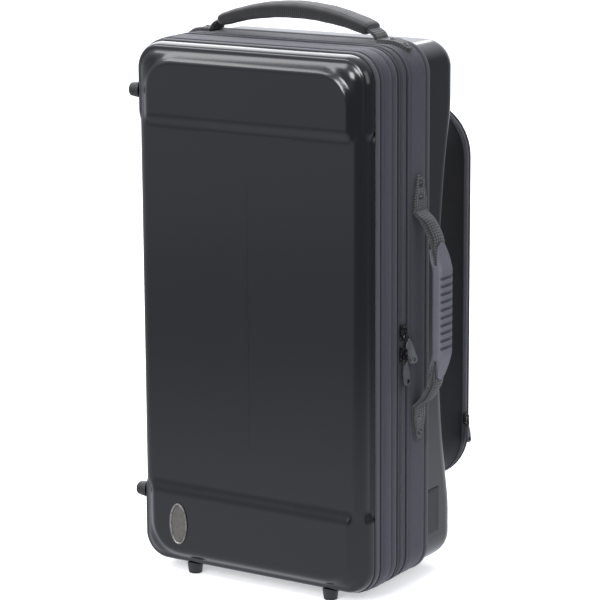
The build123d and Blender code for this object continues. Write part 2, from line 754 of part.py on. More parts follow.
parts["badge_plate"] = badge_oval(-badge_rim - badge_fit, badge_thick)
parts["badge_rim"] = badge_oval(0, badge_rim_thick) - badge_oval(-badge_rim, badge_rim_thick)
tag_y = base_band_end + tag_from_band
parts["side_label"] = block(half_width + tag_fit, half_width + tag_fit + tag_thick,
                            tag_y, tag_y + tag_width, tag_foot, tag_foot + tag_height)

back_form = base_form(-pocket_fit, 0)
gusset = pocket_ring(-pocket_wall, 0, 0, pocket_zip_y - pocket_zip_half)
parts["pocket_gusset"] = gusset - back_form
lining = pocket_prism(-pocket_wall - pocket_fit, 0, base_depth) & base_form(
    -pocket_fit - pocket_back_thick, 0)
parts["pocket_back_panel"] = lining - back_form
parts["pocket_cover"] = pocket_cover()
parts["pocket_piping"] = pocket_piping()
tape_out_pocket = -pocket_tape_sink
tape_in_pocket = tape_out_pocket - pocket_tape_thick
chain_out_pocket = tape_out_pocket + pocket_chain_thick
for body, side in (("gusset", -1), ("cover", 1)):
    near = pocket_zip_y + side * pocket_chain_gap
    low, high = sorted((near, pocket_zip_y + side * (pocket_zip_half - trim_gap)))
    tape = pocket_ring(tape_in_pocket, tape_out_pocket, low, high) - pocket_zip_gap()
    low, high = sorted((near, pocket_zip_y + side * pocket_chain_half))
    chain = pocket_ring(tape_out_pocket, chain_out_pocket, low, high) - pocket_zip_gap()
    parts[f"pocket_{body}_zip"] = Compound(tape.solids() + chain.solids())
strip = pocket_ring(-hinge_thick, 0, pocket_zip_y - pocket_zip_half + hinge_gap,
                    pocket_zip_y + pocket_zip_half - hinge_gap)
parts["pocket_hinge"] = strip & block(-far, 0, -far, far, pocket_hinge_foot + hinge_gap,
                                      pocket_hinge_head - hinge_gap)
x_under = pocket_width / 2 + tape_in_pocket
x_over = pocket_width / 2 + chain_out_pocket
parts["pocket_slider"] = zip_slider(x_under, x_over, pocket_zip_y, pocket_slider_z,
                                    pocket_slider_scale)
link, tab, eyelet = pull_parts(pull_pivot(x_over, pocket_zip_y, pocket_slider_z,
                                          pocket_slider_scale), 0.0, pocket_slider_scale)
parts["pocket_pull_link"] = link
parts["pocket_pull_tab"] = tab
parts["pocket_pull_eyelet"] = eyelet

parts["tray_floor"], parts["tray_surround"] = trumpet_tray()
parts["divider_left"] = lane_divider(-1)
parts["divider_right"] = lane_divider(1)
parts["accessory_wall"] = block(-lane_half + tray_fit, lane_half - tray_fit, divider_front,
                                tray_floor_y - tray_fit, accessory_top, lanes_foot_z)
parts["mouthpiece_rack"] = mouthpiece_rack()
parts["lid_liner"] = lid_liner()
parts["lid_cushion"] = lid_cushion()

os.makedirs("parts", exist_ok=True)
for name, shape in parts.items():
    export_step(to_row * shape, f"parts/{name}.step")
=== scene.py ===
"""Looks of an upright, zip-closed case for three trumpets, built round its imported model.

Sizes in this file are in millimetres about the case's own centre lines: X 0 is the middle of the
moulded shells, Y 0 the middle of the zip and Z 0 the underside of the shells. `place` turns such a
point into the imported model's frame, in metres.
"""
import logging
import math
from contextlib import contextmanager
from dataclasses import dataclass, field
from enum import Enum
from typing import Callable, Iterable, Iterator, Optional, Sequence, Union

import bmesh
import bpy
from mathutils import Matrix, Vector
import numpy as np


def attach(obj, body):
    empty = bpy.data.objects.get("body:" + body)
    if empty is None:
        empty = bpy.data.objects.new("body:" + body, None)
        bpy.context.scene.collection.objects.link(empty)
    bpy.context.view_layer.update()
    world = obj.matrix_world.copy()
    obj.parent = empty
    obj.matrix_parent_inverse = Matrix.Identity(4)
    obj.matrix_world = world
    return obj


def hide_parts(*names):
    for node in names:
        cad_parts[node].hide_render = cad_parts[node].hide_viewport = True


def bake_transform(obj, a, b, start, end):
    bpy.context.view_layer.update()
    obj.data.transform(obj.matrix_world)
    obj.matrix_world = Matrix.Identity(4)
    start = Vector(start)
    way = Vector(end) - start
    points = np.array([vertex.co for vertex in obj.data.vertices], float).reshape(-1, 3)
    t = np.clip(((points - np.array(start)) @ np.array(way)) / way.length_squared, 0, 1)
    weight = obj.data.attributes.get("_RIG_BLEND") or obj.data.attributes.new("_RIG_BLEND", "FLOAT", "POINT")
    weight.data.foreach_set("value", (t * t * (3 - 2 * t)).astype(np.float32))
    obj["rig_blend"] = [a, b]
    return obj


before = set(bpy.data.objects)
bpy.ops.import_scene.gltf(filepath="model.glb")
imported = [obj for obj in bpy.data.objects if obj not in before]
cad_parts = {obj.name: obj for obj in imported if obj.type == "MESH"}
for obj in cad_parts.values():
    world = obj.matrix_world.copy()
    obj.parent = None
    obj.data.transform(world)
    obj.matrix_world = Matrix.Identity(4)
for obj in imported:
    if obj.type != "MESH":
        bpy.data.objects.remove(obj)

log = logging.getLogger("trumpet_case")
MM = 0.001
CASE_ORIGIN = Vector((-14.65, -50.95, 11.0))
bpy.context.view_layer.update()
RIGHT = Vector((1, 0, 0))
LEFT = Vector((-1, 0, 0))
BACK = Vector((0, 1, 0))
UP = Vector((0, 0, 1))
Pair = tuple[float, float]
Triple = tuple[float, float, float]
Socket = bpy.types.NodeSocket


def place(x: float, y: float, z: float) -> Vector:
    """Point of the case's own lines, in millimetres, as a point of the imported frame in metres."""
    return (Vector((x, y, z)) + CASE_ORIGIN) * MM


# ---- shader node groups
def new_group(name: str, inputs: dict[str, float], outputs: Sequence[str]) -> tuple:
    """Start a shader node group.

    Args:
        name: Name of the group.
        inputs: Named float inputs with their defaults; a "Vector" input is always added.
        outputs: Named float outputs.

    Returns:
        The group's wiring, the sockets that it is given and the sockets that it makes.
    """
    group = bpy.data.node_groups.new(name, "ShaderNodeTree")
    group.interface.new_socket("Vector", in_out="INPUT", socket_type="NodeSocketVector")
    for label, value in inputs.items():
        socket = group.interface.new_socket(label, in_out="INPUT", socket_type="NodeSocketFloat")
        socket.default_value = value
    for label in outputs:
        group.interface.new_socket(label, in_out="OUTPUT", socket_type="NodeSocketFloat")
    source, sink = group.nodes.new("NodeGroupInput"), group.nodes.new("NodeGroupOutput")
    return Wiring(group), source.outputs, sink.inputs


class Wiring:
    """Short hand for adding and joining nodes in one tree."""

    def __init__(self, tree: bpy.types.NodeTree) -> None:
        """Keep the tree that the nodes go into."""
        self.tree = tree

    def add(self, kind: str) -> bpy.types.Node:
        """New shader node of a kind."""
        return self.tree.nodes.new("ShaderNode" + kind)

    def join(self, source: object, target: Socket) -> None:
        """Link a socket, or set a plain value."""
        if isinstance(source, Socket):
            self.tree.links.new(source, target)
        else:
            target.default_value = source

    def math(self, operation: str, a: object, b: object = 0.0) -> Socket:
        """Math node of one operation on two values or sockets.

        Args:
            operation: Blender's name of the operation.
            a: First value or socket.
            b: Second one, where the operation takes two.

        Returns:
            The result.
        """
        node = self.add("Math")
        node.operation = operation
        self.join(a, node.inputs[0])
        if len(node.inputs) > 1:
            self.join(b, node.inputs[1])
        return node.outputs[0]

    def times(self, a: object, b: object) -> Socket:
        """Product of two values or sockets."""
        return self.math("MULTIPLY", a, b)

    def plus(self, a: object, b: object) -> Socket:
        """Sum of two values or sockets."""
        return self.math("ADD", a, b)

    def noise(self, vector: object, scale: object, detail: float = 3.0,
              roughness: float = 0.5) -> Socket:
        """Noise texture's value on a vector.

        Args:
            vector: Where the texture is read.
            scale: Its scale.
            detail: Its octaves.
            roughness: Weight of the finer octaves.

        Returns:
            The value.
        """
        node = self.add("TexNoise")
        node.inputs["Detail"].default_value = detail
        node.inputs["Roughness"].default_value = roughness
        self.join(vector, node.inputs["Vector"])
        self.join(scale, node.inputs["Scale"])
        return node.outputs["Fac"]

    def split(self, vector: object) -> tuple:
        """Three parts of a vector."""
        node = self.add("SeparateXYZ")
        self.join(vector, node.inputs[0])
        return node.outputs[0], node.outputs[1], node.outputs[2]

    def remap(self, value: object, low: float, high: float, to_low: float = 0.0,
              to_high: float = 1.0) -> Socket:
        """Value moved smoothly from one range to another.

        Args:
            value: Value or socket.
            low: Start of its range.
            high: End of its range.
            to_low: Result at the start.
            to_high: Result at the end.

        Returns:
            The result.
        """
        node = self.add("MapRange")
        node.interpolation_type = "SMOOTHSTEP"
        for index, number in ((1, low), (2, high), (3, to_low), (4, to_high)):
            node.inputs[index].default_value = number
        self.join(value, node.inputs[0])
        return node.outputs[0]

    def blend(self, factor: object, a: object, b: object) -> Socket:
        """Mix of two colours.

        Args:
            factor: 0 for the first colour, 1 for the second.
            a: First colour or socket.
            b: Second colour or socket.

        Returns:
            The mixed colour.
        """
        node = self.add("Mix")
        node.data_type = "RGBA"
        self.join(factor, node.inputs[0])
        for source, socket in ((a, node.inputs[6]), (b, node.inputs[7])):
            linked = isinstance(source, Socket)
            self.join(source if linked else (*source, 1.0), socket)
        return node.outputs[2]

    def use(self, group: str, vector: object,
            **values: float) -> bpy.types.bpy_prop_collection:
        """Place a shared node group.

        Args:
            group: Name of the group.
            vector: Where its pattern is read.
            values: Its own inputs by name.

        Returns:
            Its outputs by name.
        """
        node = self.add("Group")
        node.node_tree = GROUPS.get(group)
        self.join(vector, node.inputs["Vector"])
        for label, value in values.items():
            self.join(value, node.inputs[label])
        return node.outputs


def weave_group() -> bpy.types.NodeTree:
    """Plain weave on a surface's own map in millimetres: thread height, and thread tone with painted shade
    where the weave is low.
    """
    w, given, made = new_group("Weave", {"Pitch": 1.2, "Slub": 0.4}, ("Height", "Tone"))
    u, v, _ = w.split(given["Vector"])
    turn = w.math("DIVIDE", math.tau, given["Pitch"])
    over = w.math("SINE", w.times(u, turn))
    under = w.math("SINE", w.times(v, turn))
    cross = w.times(over, under)
    slub = w.noise(given["Vector"], 0.35, 4.0, 0.7)
    slub = w.times(w.math("SUBTRACT", slub, 0.5), given["Slub"])
    w.join(w.plus(w.times(cross, 0.5), slub), made["Height"])
    # Tone: uneven slubs along the threads, plus painted shade that follows the relief, paler on raised
    # crossings and darker in the hollows.
    tone = w.plus(w.times(cross, 0.25), w.times(slub, 1.5))
    w.join(w.plus(tone, 0.5), made["Tone"])
    return w.tree


def rib_group() -> bpy.types.NodeTree:
    """Cross ribs with fine lengthwise threads, on a map in millimetres."""
    w, given, made = new_group("Ribs", {"Pitch": 2.2, "Thread": 1.1, "Square": 0.0},
                               ("Height", "Groove"))
    u, v, _ = w.split(given["Vector"])
    warp = w.noise(given["Vector"], 0.3, 2.0)
    u = w.plus(u, w.times(warp, 0.5))
    rib = w.math("ABSOLUTE", w.math("SINE", w.times(u, w.math(
        "DIVIDE", math.pi, given["Pitch"]))))
    thread = w.math("ABSOLUTE", w.math("SINE", w.times(v, w.math(
        "DIVIDE", math.pi, given["Thread"]))))
    square = w.times(rib, thread)
    plain = w.plus(w.times(rib, 0.85), w.times(thread, 0.15))
    keep = w.math("SUBTRACT", 1.0, given["Square"])
    height = w.plus(w.times(square, given["Square"]), w.times(plain, keep))
    w.join(height, made["Height"])
    # The groove mask marks the low ground between ribs, where the webbing finish paints shade.
    w.join(w.remap(height, 0.55, 0.1), made["Groove"])
    return w.tree


def grain_group() -> bpy.types.NodeTree:
    """Fine moulded grain with broad, faint unevenness, in millimetres."""
    w, given, made = new_group("Grain", {"Fine": 3.0, "Broad": 0.02}, ("Height", "Cloud"))
    w.join(w.noise(given["Vector"], given["Fine"], 4.0, 0.6), made["Height"])
    w.join(w.noise(given["Vector"], given["Broad"], 3.0), made["Cloud"])
    return w.tree


def wear_group() -> bpy.types.NodeTree:
    """Dust specks and hair scratches as masks, in millimetres."""
    w, given, made = new_group("Wear", {"Amount": 0.5}, ("Dust", "Scratch"))
    dust = w.noise(given["Vector"], 0.9, 6.0, 0.75)
    dust = w.remap(dust, 0.60, 0.78)
    w.join(w.times(dust, given["Amount"]), made["Dust"])
    x, y, z = w.split(given["Vector"])
    line = w.plus(w.times(x, 0.11), w.times(z, 0.013))
    long_noise = w.add("CombineXYZ")
    w.join(line, long_noise.inputs[0])
    w.join(w.times(y, 0.4), long_noise.inputs[1])
    w.join(w.times(z, 1.7), long_noise.inputs[2])
    scratch = w.remap(w.noise(long_noise.outputs[0], 1.1, 8.0, 0.8), 0.66, 0.72)
    w.join(w.times(scratch, given["Amount"]), made["Scratch"])
    return w.tree


def pile_group() -> bpy.types.NodeTree:
    """Short plush pile: tufts and brushed patches, in millimetres."""
    w, given, made = new_group("Pile", {"Tuft": 1.6}, ("Height", "Brushed"))
    tuft = w.noise(given["Vector"], given["Tuft"], 5.0, 0.8)
    w.join(tuft, made["Height"])
    w.join(w.noise(given["Vector"], 0.025, 3.0, 0.6), made["Brushed"])
    return w.tree


@dataclass
class SharedGroups:
    """Shader groups that the finishes share, each built once."""

    built: dict[str, bpy.types.NodeTree] = field(default_factory=dict)

    def get(self, name: str) -> bpy.types.NodeTree:
        """Group of that name, built when it is first asked for."""
        makers = {"Weave": weave_group, "Ribs": rib_group, "Grain": grain_group,
                  "Wear": wear_group, "Pile": pile_group}
        if name not in self.built:
            self.built[name] = makers[name]()
        return self.built[name]


GROUPS = SharedGroups()


# ---- finishes
class Map(Enum):
    """Where a finish reads its pattern's place."""

    OBJECT = "Object"
    SURFACE = "Surface"


@dataclass(frozen=True)
class Finish:
    """A finish of the case: its tone, gloss and relief.

    Subclasses add the pattern in `dress`.
    """

    name: str
    colour: Triple
    roughness: float = 0.5
    relief: float = 0.1
    mapped: Map = Map.OBJECT

    def material(self) -> bpy.types.Material:
        """Material of this finish, made once."""
        if self.name in bpy.data.materials:
            return bpy.data.materials[self.name]
        made = bpy.data.materials.new(self.name)
        made.use_nodes = True
        shader = made.node_tree.nodes["Principled BSDF"]
        shader.inputs["Base Color"].default_value = (*self.colour, 1.0)
        shader.inputs["Roughness"].default_value = self.roughness
        wiring = Wiring(made.node_tree)
        self.dress(wiring, shader, self.vector(wiring))
        return made

    def vector(self, wiring: Wiring) -> Socket:
        """The pattern's place in millimetres."""
        if self.mapped is Map.SURFACE:
            source = wiring.add("UVMap")
            source.uv_map = "UVMap"
            return source.outputs["UV"]
        source = wiring.add("TexCoord")
        scale = wiring.add("VectorMath")
        scale.operation = "SCALE"
        scale.inputs["Scale"].default_value = 1000.0
        wiring.join(source.outputs["Object"], scale.inputs[0])
        return scale.outputs[0]

    def tone(self, share: float, lift: float = 0.0) -> tuple[float, ...]:
        """This finish's colour, darker or paler."""
        return tuple(min(1.0, part * share + lift) for part in self.colour)

    def bump(self, wiring: Wiring, shader: bpy.types.Node, height: object) -> None:
        """Feed a height to the shader's normal, over this finish's relief in millimetres."""
        node = wiring.add("Bump")
        node.inputs["Strength"].default_value = 1.0
        node.inputs["Distance"].default_value = self.relief * MM
        wiring.join(height, node.inputs["Height"])
        wiring.join(node.outputs[0], shader.inputs["Normal"])

    def dress(self, w: Wiring, shader: bpy.types.Node, vector: object) -> None:
        """Add this finish's pattern to the shader."""
        raise NotImplementedError


@dataclass(frozen=True)
class PolishedShell(Finish):
    """Gloss of the moulded shells, with faint orange peel, dust and hair scratches."""

    def dress(self, w: Wiring, shader: bpy.types.Node, vector: object) -> None:
        """Broad ripples in the gloss, and worn spots that are a little duller."""
        shader.inputs["Coat Weight"].default_value = 0.12
        shader.inputs["Coat Roughness"].default_value = 0.12
        grain = w.use("Grain", vector, Fine=0.25, Broad=0.012)
        wear = w.use("Wear", vector, Amount=0.35)
        worn = w.plus(wear["Dust"], wear["Scratch"])
        dull = w.plus(w.times(worn, 0.12), self.roughness)
        haze = w.times(grain["Cloud"], 0.06)
        w.join(w.plus(dull, haze), shader.inputs["Roughness"])
        dusty = w.blend(w.times(worn, 0.5), self.colour, self.tone(1.8, 0.01))
        w.join(dusty, shader.inputs["Base Color"])
        self.bump(w, shader, grain["Height"])


@dataclass(frozen=True)
class WovenCloth(Finish):
    """Woven nylon cloth on the piece's own map."""

    pitch: float = 1.3
    slub: float = 0.5
    sheen: float = 0.25

    def dress(self, w: Wiring, shader: bpy.types.Node, vector: object) -> None:
        """Threads over and under, with uneven tone along them and painted shade in the hollows of the weave.
        """
        shader.inputs["Sheen Weight"].default_value = self.sheen
        shader.inputs["Sheen Roughness"].default_value = 0.45
        shader.inputs["Specular IOR Level"].default_value = 0.08 + 1.2 * self.sheen
        weave = w.use("Weave", vector, Pitch=self.pitch, Slub=self.slub)
        # The weave's tone carries painted shade in its hollows as well as uneven slubs.
        low = self.tone(0.62)
        high = self.tone(1.38)
        w.join(w.blend(weave["Tone"], low, high), shader.inputs["Base Color"])
        self.bump(w, shader, weave["Height"])


@dataclass(frozen=True)
class RibbedWebbing(Finish):
    """Webbing with cross ribs, or with square cells where it is a waffle weave."""

    pitch: float = 2.2
    thread: float = 1.1
    square: float = 0.0

    def dress(self, w: Wiring, shader: bpy.types.Node, vector: object) -> None:
        """Raised ribs, with painted shade darkening the grooves between them."""
        shader.inputs["Sheen Weight"].default_value = 0.3
        shader.inputs["Sheen Roughness"].default_value = 0.5
        ribs = w.use("Ribs", vector, Pitch=self.pitch, Thread=self.thread,
                     Square=self.square)
        # Painted shade: the low ground between ribs is blended towards a near-black tone.
        dark = self.tone(0.1)
        fuzz = w.noise(vector, 1.3, 4.0, 0.7)
        pale = w.blend(fuzz, self.tone(0.8), self.tone(1.3))
        w.join(w.blend(ribs["Groove"], pale, dark), shader.inputs["Base Color"])
        height = w.plus(ribs["Height"], w.times(fuzz, 0.25))
        self.bump(w, shader, height)


@dataclass(frozen=True)
class MouldedRubber(Finish):
    """Satin moulded rubber with a fine grain, a little dust and painted shade in its grooves and corners."""

    fine: float = 2.5

    def dress(self, w: Wiring, shader: bpy.types.Node, vector: object) -> None:
        """Grain in the relief, dust in the tone, and painted shade darkening grooves and corners."""
        grain = w.use("Grain", vector, Fine=self.fine, Broad=0.06)
        wear = w.use("Wear", vector, Amount=0.5)
        pale = self.tone(1.35, 0.01)
        mix = w.plus(w.times(grain["Cloud"], 0.5),
                     w.times(wear["Dust"], 0.5))
        # Painted shade: ambient occlusion blends the colour towards a near-black tone in grooves and tight
        # corners.
        hidden = w.add("AmbientOcclusion")
        hidden.samples = 8
        hidden.inputs["Distance"].default_value = 5.0 * MM
        painted_shade_factor = w.remap(hidden.outputs["AO"], 0.45, 0.95)
        shade = self.tone(0.12)
        w.join(w.blend(painted_shade_factor, shade, w.blend(mix, self.colour, pale)), shader.inputs["Base Color"])
        rough = w.times(w.math("SUBTRACT", grain["Cloud"], 0.5), 0.2)
        w.join(w.plus(rough, self.roughness), shader.inputs["Roughness"])
        self.bump(w, shader, grain["Height"])


@dataclass(frozen=True)
class WornMetal(Finish):
    """Metal with a coating that has rubbed through in spots."""

    bare: Triple = (0.55, 0.54, 0.52)
    coated: float = 0.6

    def dress(self, w: Wiring, shader: bpy.types.Node, vector: object) -> None:
        """Coating over bare metal, more metallic where it is rubbed."""
        grain = w.use("Grain", vector, Fine=1.2, Broad=0.35)
        wear = w.use("Wear", vector, Amount=1.0)
        rub = w.remap(grain["Cloud"], self.coated - 0.08, self.coated + 0.1)
        rub = w.math("MAXIMUM", rub, wear["Scratch"])
        w.join(w.blend(rub, self.colour, self.bare), shader.inputs["Base Color"])
        w.join(w.remap(rub, 0.0, 1.0, 0.55, 1.0), shader.inputs["Metallic"])
        rough = w.plus(w.times(grain["Height"], 0.2), self.roughness - 0.1)
        w.join(rough, shader.inputs["Roughness"])
        self.bump(w, shader, grain["Height"])


@dataclass(frozen=True)
class PlushPile(Finish):
    """Short plush of the padded inside."""

    def dress(self, w: Wiring, shader: bpy.types.Node, vector: object) -> None:
        """Tufts in the relief, brushed patches in the tone, sheen on the edges."""
        shader.inputs["Sheen Weight"].default_value = 0.6
        shader.inputs["Sheen Roughness"].default_value = 0.4
        pile = w.use("Pile", vector, Tuft=0.9)
        low = self.tone(0.7)
        high = self.tone(1.5)
        mix = w.plus(w.times(pile["Height"], 0.4),
                     w.times(w.remap(pile["Brushed"], 0.35, 0.65), 0.6))
        w.join(w.blend(mix, low, high), shader.inputs["Base Color"])
        self.bump(w, shader, pile["Height"])


@dataclass(frozen=True)
class SpunNylon(Finish):
    """Smooth drawn nylon of thread and zip coil."""

    def dress(self, w: Wiring, shader: bpy.types.Node, vector: object) -> None:
        """Faint streaks in tone and gloss."""
        streak = w.noise(vector, 1.7, 3.0)
        pale = self.tone(1.7, 0.005)
        w.join(w.blend(streak, self.colour, pale), shader.inputs["Base Color"])
        w.join(w.remap(streak, 0.2, 0.8, self.roughness - 0.08, self.roughness + 0.1),
               shader.inputs["Roughness"])
        self.bump(w, shader, streak)


@dataclass(frozen=True)
class Patina(Finish):
    """Aged silver, darker in its field."""

    fade: float = 0.4

    def dress(self, w: Wiring, shader: bpy.types.Node, vector: object) -> None:
        """Dark tarnish in clouds over pale metal."""
        grain = w.use("Grain", vector, Fine=1.6, Broad=0.22)
        tarnish = w.remap(grain["Cloud"], 0.3, 0.62)
        dark = self.tone(self.fade)
        w.join(w.blend(tarnish, dark, self.colour), shader.inputs["Base Color"])
        w.join(w.remap(tarnish, 0.0, 1.0, 0.5, 0.95), shader.inputs["Metallic"])
        w.join(w.remap(grain["Height"], 0.3, 0.7, self.roughness - 0.1,
                       self.roughness + 0.15), shader.inputs["Roughness"])
        self.bump(w, shader, grain["Height"])


SHELL = PolishedShell("Polished black shell", (0.0042, 0.0046, 0.0066), 0.16, 0.01)
BAND = WovenCloth("Blue-grey band cloth", (0.033, 0.033, 0.049), 0.75, 0.4, Map.SURFACE, 2.6, 0.9)
EDGE_TAPE = RibbedWebbing("Edge tape", (0.045, 0.045, 0.055), 0.75, 0.14, Map.SURFACE, 0.9, 1.4)
ZIP_TAPE = RibbedWebbing("Zip tape", (0.036, 0.036, 0.05), 0.8, 0.3, Map.SURFACE, 2.2, 1.2)
PIPING = SpunNylon("Black piping", (0.004, 0.004, 0.006), 0.55, 0.05)
COIL = SpunNylon("Zip coil", (0.06, 0.06, 0.075), 0.32, 0.02)
THREAD = SpunNylon("Sewing thread", (0.03, 0.03, 0.038), 0.5, 0.05)
WEBBING = RibbedWebbing("Grey webbing", (0.058, 0.058, 0.061), 0.75, 1.2, Map.SURFACE,
                        2.9, 4.0, 0.9)
WAFFLE = RibbedWebbing("Waffle webbing", (0.034, 0.034, 0.035), 0.8, 0.5, Map.SURFACE,
                       2.6, 2.6, 0.9)
GRIP = MouldedRubber("Grip rubber", (0.115, 0.115, 0.138), 0.5, 0.03)
PULL = MouldedRubber("Pull rubber", (0.075, 0.08, 0.088), 0.42, 0.03)
FOOT = MouldedRubber("Foot rubber", (0.012, 0.012, 0.013), 0.5, 0.05)
SLIDER = WornMetal("Black slider metal", (0.012, 0.012, 0.013), 0.32, 0.02, Map.OBJECT,
                   (0.5, 0.49, 0.47), 0.62)
RIVET = WornMetal("Dark rivet metal", (0.03, 0.03, 0.032), 0.36, 0.02, Map.OBJECT,
                  (0.22, 0.22, 0.22), 0.55)
SCREW = WornMetal("Screw metal", (0.2, 0.2, 0.2), 0.35, 0.02, Map.OBJECT, (0.6, 0.6, 0.6), 0.4)
SILVER = Patina("Badge silver", (0.34, 0.33, 0.30), 0.32, 0.03, Map.OBJECT, 0.45)
FIELD = Patina("Tarnished badge field", (0.19, 0.18, 0.16), 0.45, 0.05, Map.OBJECT, 0.6)
LABEL = WovenCloth("Label cloth", (0.05, 0.05, 0.054), 0.7, 0.08, Map.SURFACE, 0.8, 0.3, 0.1)
POCKET = WovenCloth("Coated pocket cloth", (0.0045, 0.0045, 0.0055), 0.5, 0.08, Map.SURFACE,
                    0.9, 0.6, 0.03)
PLUSH = PlushPile("Grey plush", (0.03, 0.031, 0.036), 0.9, 0.6)
PLUSH_PAD = PlushPile("Pale grey plush", (0.045, 0.046, 0.052), 0.9, 0.6)


# ---- meshes
@dataclass
class Station:
    """One cross-section's place on a path, in millimetres.

    Attributes:
        spot: Point on the path.
        across: Direction of the profile's first number.
        out: Direction of the profile's second number.
        run: Distance along the path.
    """

    spot: Vector
    across: Vector
    out: Vector
    run: float

    def point(self, across: float, out: float) -> Vector:
        """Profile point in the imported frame."""
        return place(*(self.spot + self.across * across + self.out * out))


Profile = Sequence[Pair]
Section = Union[Profile, Callable[[Station], Profile]]


@contextmanager
def editing(mesh: bpy.types.Mesh) -> Iterator[bmesh.types.BMesh]:
    """Open a mesh for editing, and write it back at the end."""
    shape = bmesh.new()
    shape.from_mesh(mesh)
    yield shape
    shape.to_mesh(mesh)
    shape.free()


class Surface:
    """Mesh data with a map in millimetres, gathered before it becomes an object."""

    def __init__(self) -> None:
        """Start empty."""
        self.points: list[Vector] = []
        self.faces: list[tuple[int, ...]] = []
        self.maps: list[tuple[Pair, ...]] = []

    def grid(self, rows: Sequence[Sequence[Vector]], runs: Sequence[float], close_rows: bool,
             close_columns: bool) -> None:
        """Add a skin over rows of points, with caps on the open ends of a tube.

        Args:
            rows: Points, one list for each cross-section, all of one length.
            runs: Distance along the path for each row, with one more where it closes.
            close_rows: The last row joins the first.
            close_columns: Each cross-section is a closed loop.
        """
        first = len(self.points)
        width = len(rows[0])
        for row in rows:
            self.points.extend(row)
        widths = [0.0]
        loop = list(rows[0]) + [rows[0][0]]
        for a, b in zip(loop, loop[1:]):
            widths.append(widths[-1] + (b - a).length / MM)
        for i in range(len(rows) if close_rows else len(rows) - 1):
            below = first + i * width
            above = first + ((i + 1) % len(rows)) * width
            for j in range(width if close_columns else width - 1):
                k = (j + 1) % width
                self.faces.append((below + j, below + k, above + k, above + j))
                low, high = runs[i], runs[i + 1]
                self.maps.append(((low, widths[j]), (low, widths[j + 1]), (high, widths[j + 1]),
                                  (high, widths[j])))
        if close_columns and not close_rows:
            for start in (first, first + (len(rows) - 1) * width):
                cap = tuple(range(start, start + width))
                self.faces.append(cap)
                self.maps.append(tuple((0.0, 0.0) for _ in cap))

    def sweep(self, stations: Sequence[Station], profile: Section, closed: bool = False) -> None:
        """Add a tube whose cross-section follows a path.

        Args:
            stations: Places on the path.
            profile: The cross-section, or what gives it at each station.
            closed: The path is a loop.
        """
        rows = [[s.point(a, o) for a, o in (profile(s) if callable(profile) else profile)]
                for s in stations]
        runs = [s.run for s in stations]
        if closed:
            gap = (stations[0].spot - stations[-1].spot).length
            runs.append(runs[-1] + gap)
        self.grid(rows, runs, closed, True)

    def build(self, name: str, finish: Finish) -> bpy.types.Object:
        """Turn the data into an object with outward faces and one material.

        Args:
            name: Name of the piece.
            finish: Its finish.

        Returns:
            The new object.
        """
        mesh = bpy.data.meshes.new(name)
        mesh.from_pydata([tuple(p) for p in self.points], [], self.faces)
        layer = mesh.uv_layers.new(name="UVMap")
        corner = 0
        for spots in self.maps:
            for spot in spots:
                layer.data[corner].uv = spot
                corner += 1
        return finished(name, mesh, finish)


def linked_object(name: str, data: Optional[bpy.types.ID]) -> bpy.types.Object:
    """New object in the scene."""
    made = bpy.data.objects.new(name, data)
    bpy.context.scene.collection.objects.link(made)
    return made


def finished(name: str, mesh: bpy.types.Mesh, finish: Finish,
             recalculate: bool = True) -> bpy.types.Object:
    """Object from a mesh, smoothly shaded.

    Args:
        name: Name of the piece.
        mesh: Its mesh.
        finish: Its finish.
        recalculate: Turn the faces outwards first.

    Returns:
        The new object.
    """
    if recalculate:
        with editing(mesh) as shape:
            bmesh.ops.recalc_face_normals(shape, faces=shape.faces)
    mesh.materials.clear()
    mesh.materials.append(finish.material())
    mesh.polygons.foreach_set("use_smooth", [True] * len(mesh.polygons))
    return linked_object(name.lower().replace(" ", "_"), mesh)


def skin(name: str, finish: Finish, rows: Sequence[Sequence[Vector]], step: float,
         close_rows: bool = False, close_columns: bool = True) -> bpy.types.Object:
    """Object with a skin over rows of points.

    Args:
        name: Name of the piece.
        finish: Its finish.
        rows: Points, one list for each cross-section.
        step: Distance between rows on the map, in millimetres.
        close_rows: The last row joins the first.
        close_columns: Each row is a closed loop.

    Returns:
        The new object.
    """
    surface = Surface()
    surface.grid(rows, [step * i for i in range(len(rows) + 1)], close_rows, close_columns)
    return surface.build(name, finish)


def strip(name: str, finish: Finish, stations: Sequence[Station], profile: Section,
          closed: bool = False) -> bpy.types.Object:
    """Object swept along a path.

    Args:
        name: Name of the piece.
        finish: Its finish.
        stations: Places on the path.
        profile: The cross-section, or what gives it at each station.
        closed: The path is a loop.

    Returns:
        The new object.
    """
    surface = Surface()
    surface.sweep(stations, profile, closed)
    return surface.build(name, finish)


def seal(mesh: bpy.types.Mesh, merge: float) -> None:
    """Merge points nearer than a distance in metres, and close what is still open.

    Args:
        mesh: The mesh to close.
        merge: The distance.
    """
    with editing(mesh) as shape:
        bmesh.ops.remove_doubles(shape, verts=shape.verts, dist=merge)
        bmesh.ops.holes_fill(shape, edges=[e for e in shape.edges if e.is_boundary])
        bmesh.ops.recalc_face_normals(shape, faces=shape.faces)


def smooth_step(value: float, low: float, high: float) -> float:
    """0 below a range, 1 above it and a smooth rise between."""
    share = min(max((value - low) / (high - low), 0.0), 1.0)
    return share * share * (3.0 - 2.0 * share)


def sharpen(mesh: bpy.types.Mesh, degrees: float) -> None:
    """Keep edges crisp where faces meet at more than an angle."""
    with editing(mesh) as shape:
        for edge in shape.edges:
            if len(edge.link_faces) == 2:
                edge.smooth = edge.calc_face_angle(0.0) < math.radians(degrees)


def round_profile(across: float, out: float, radius: float, count: int = 10) -> list:
    """Closed round cross-section."""
    return [(across + radius * math.cos(math.tau * i / count),
             out + radius * math.sin(math.tau * i / count)) for i in range(count)]


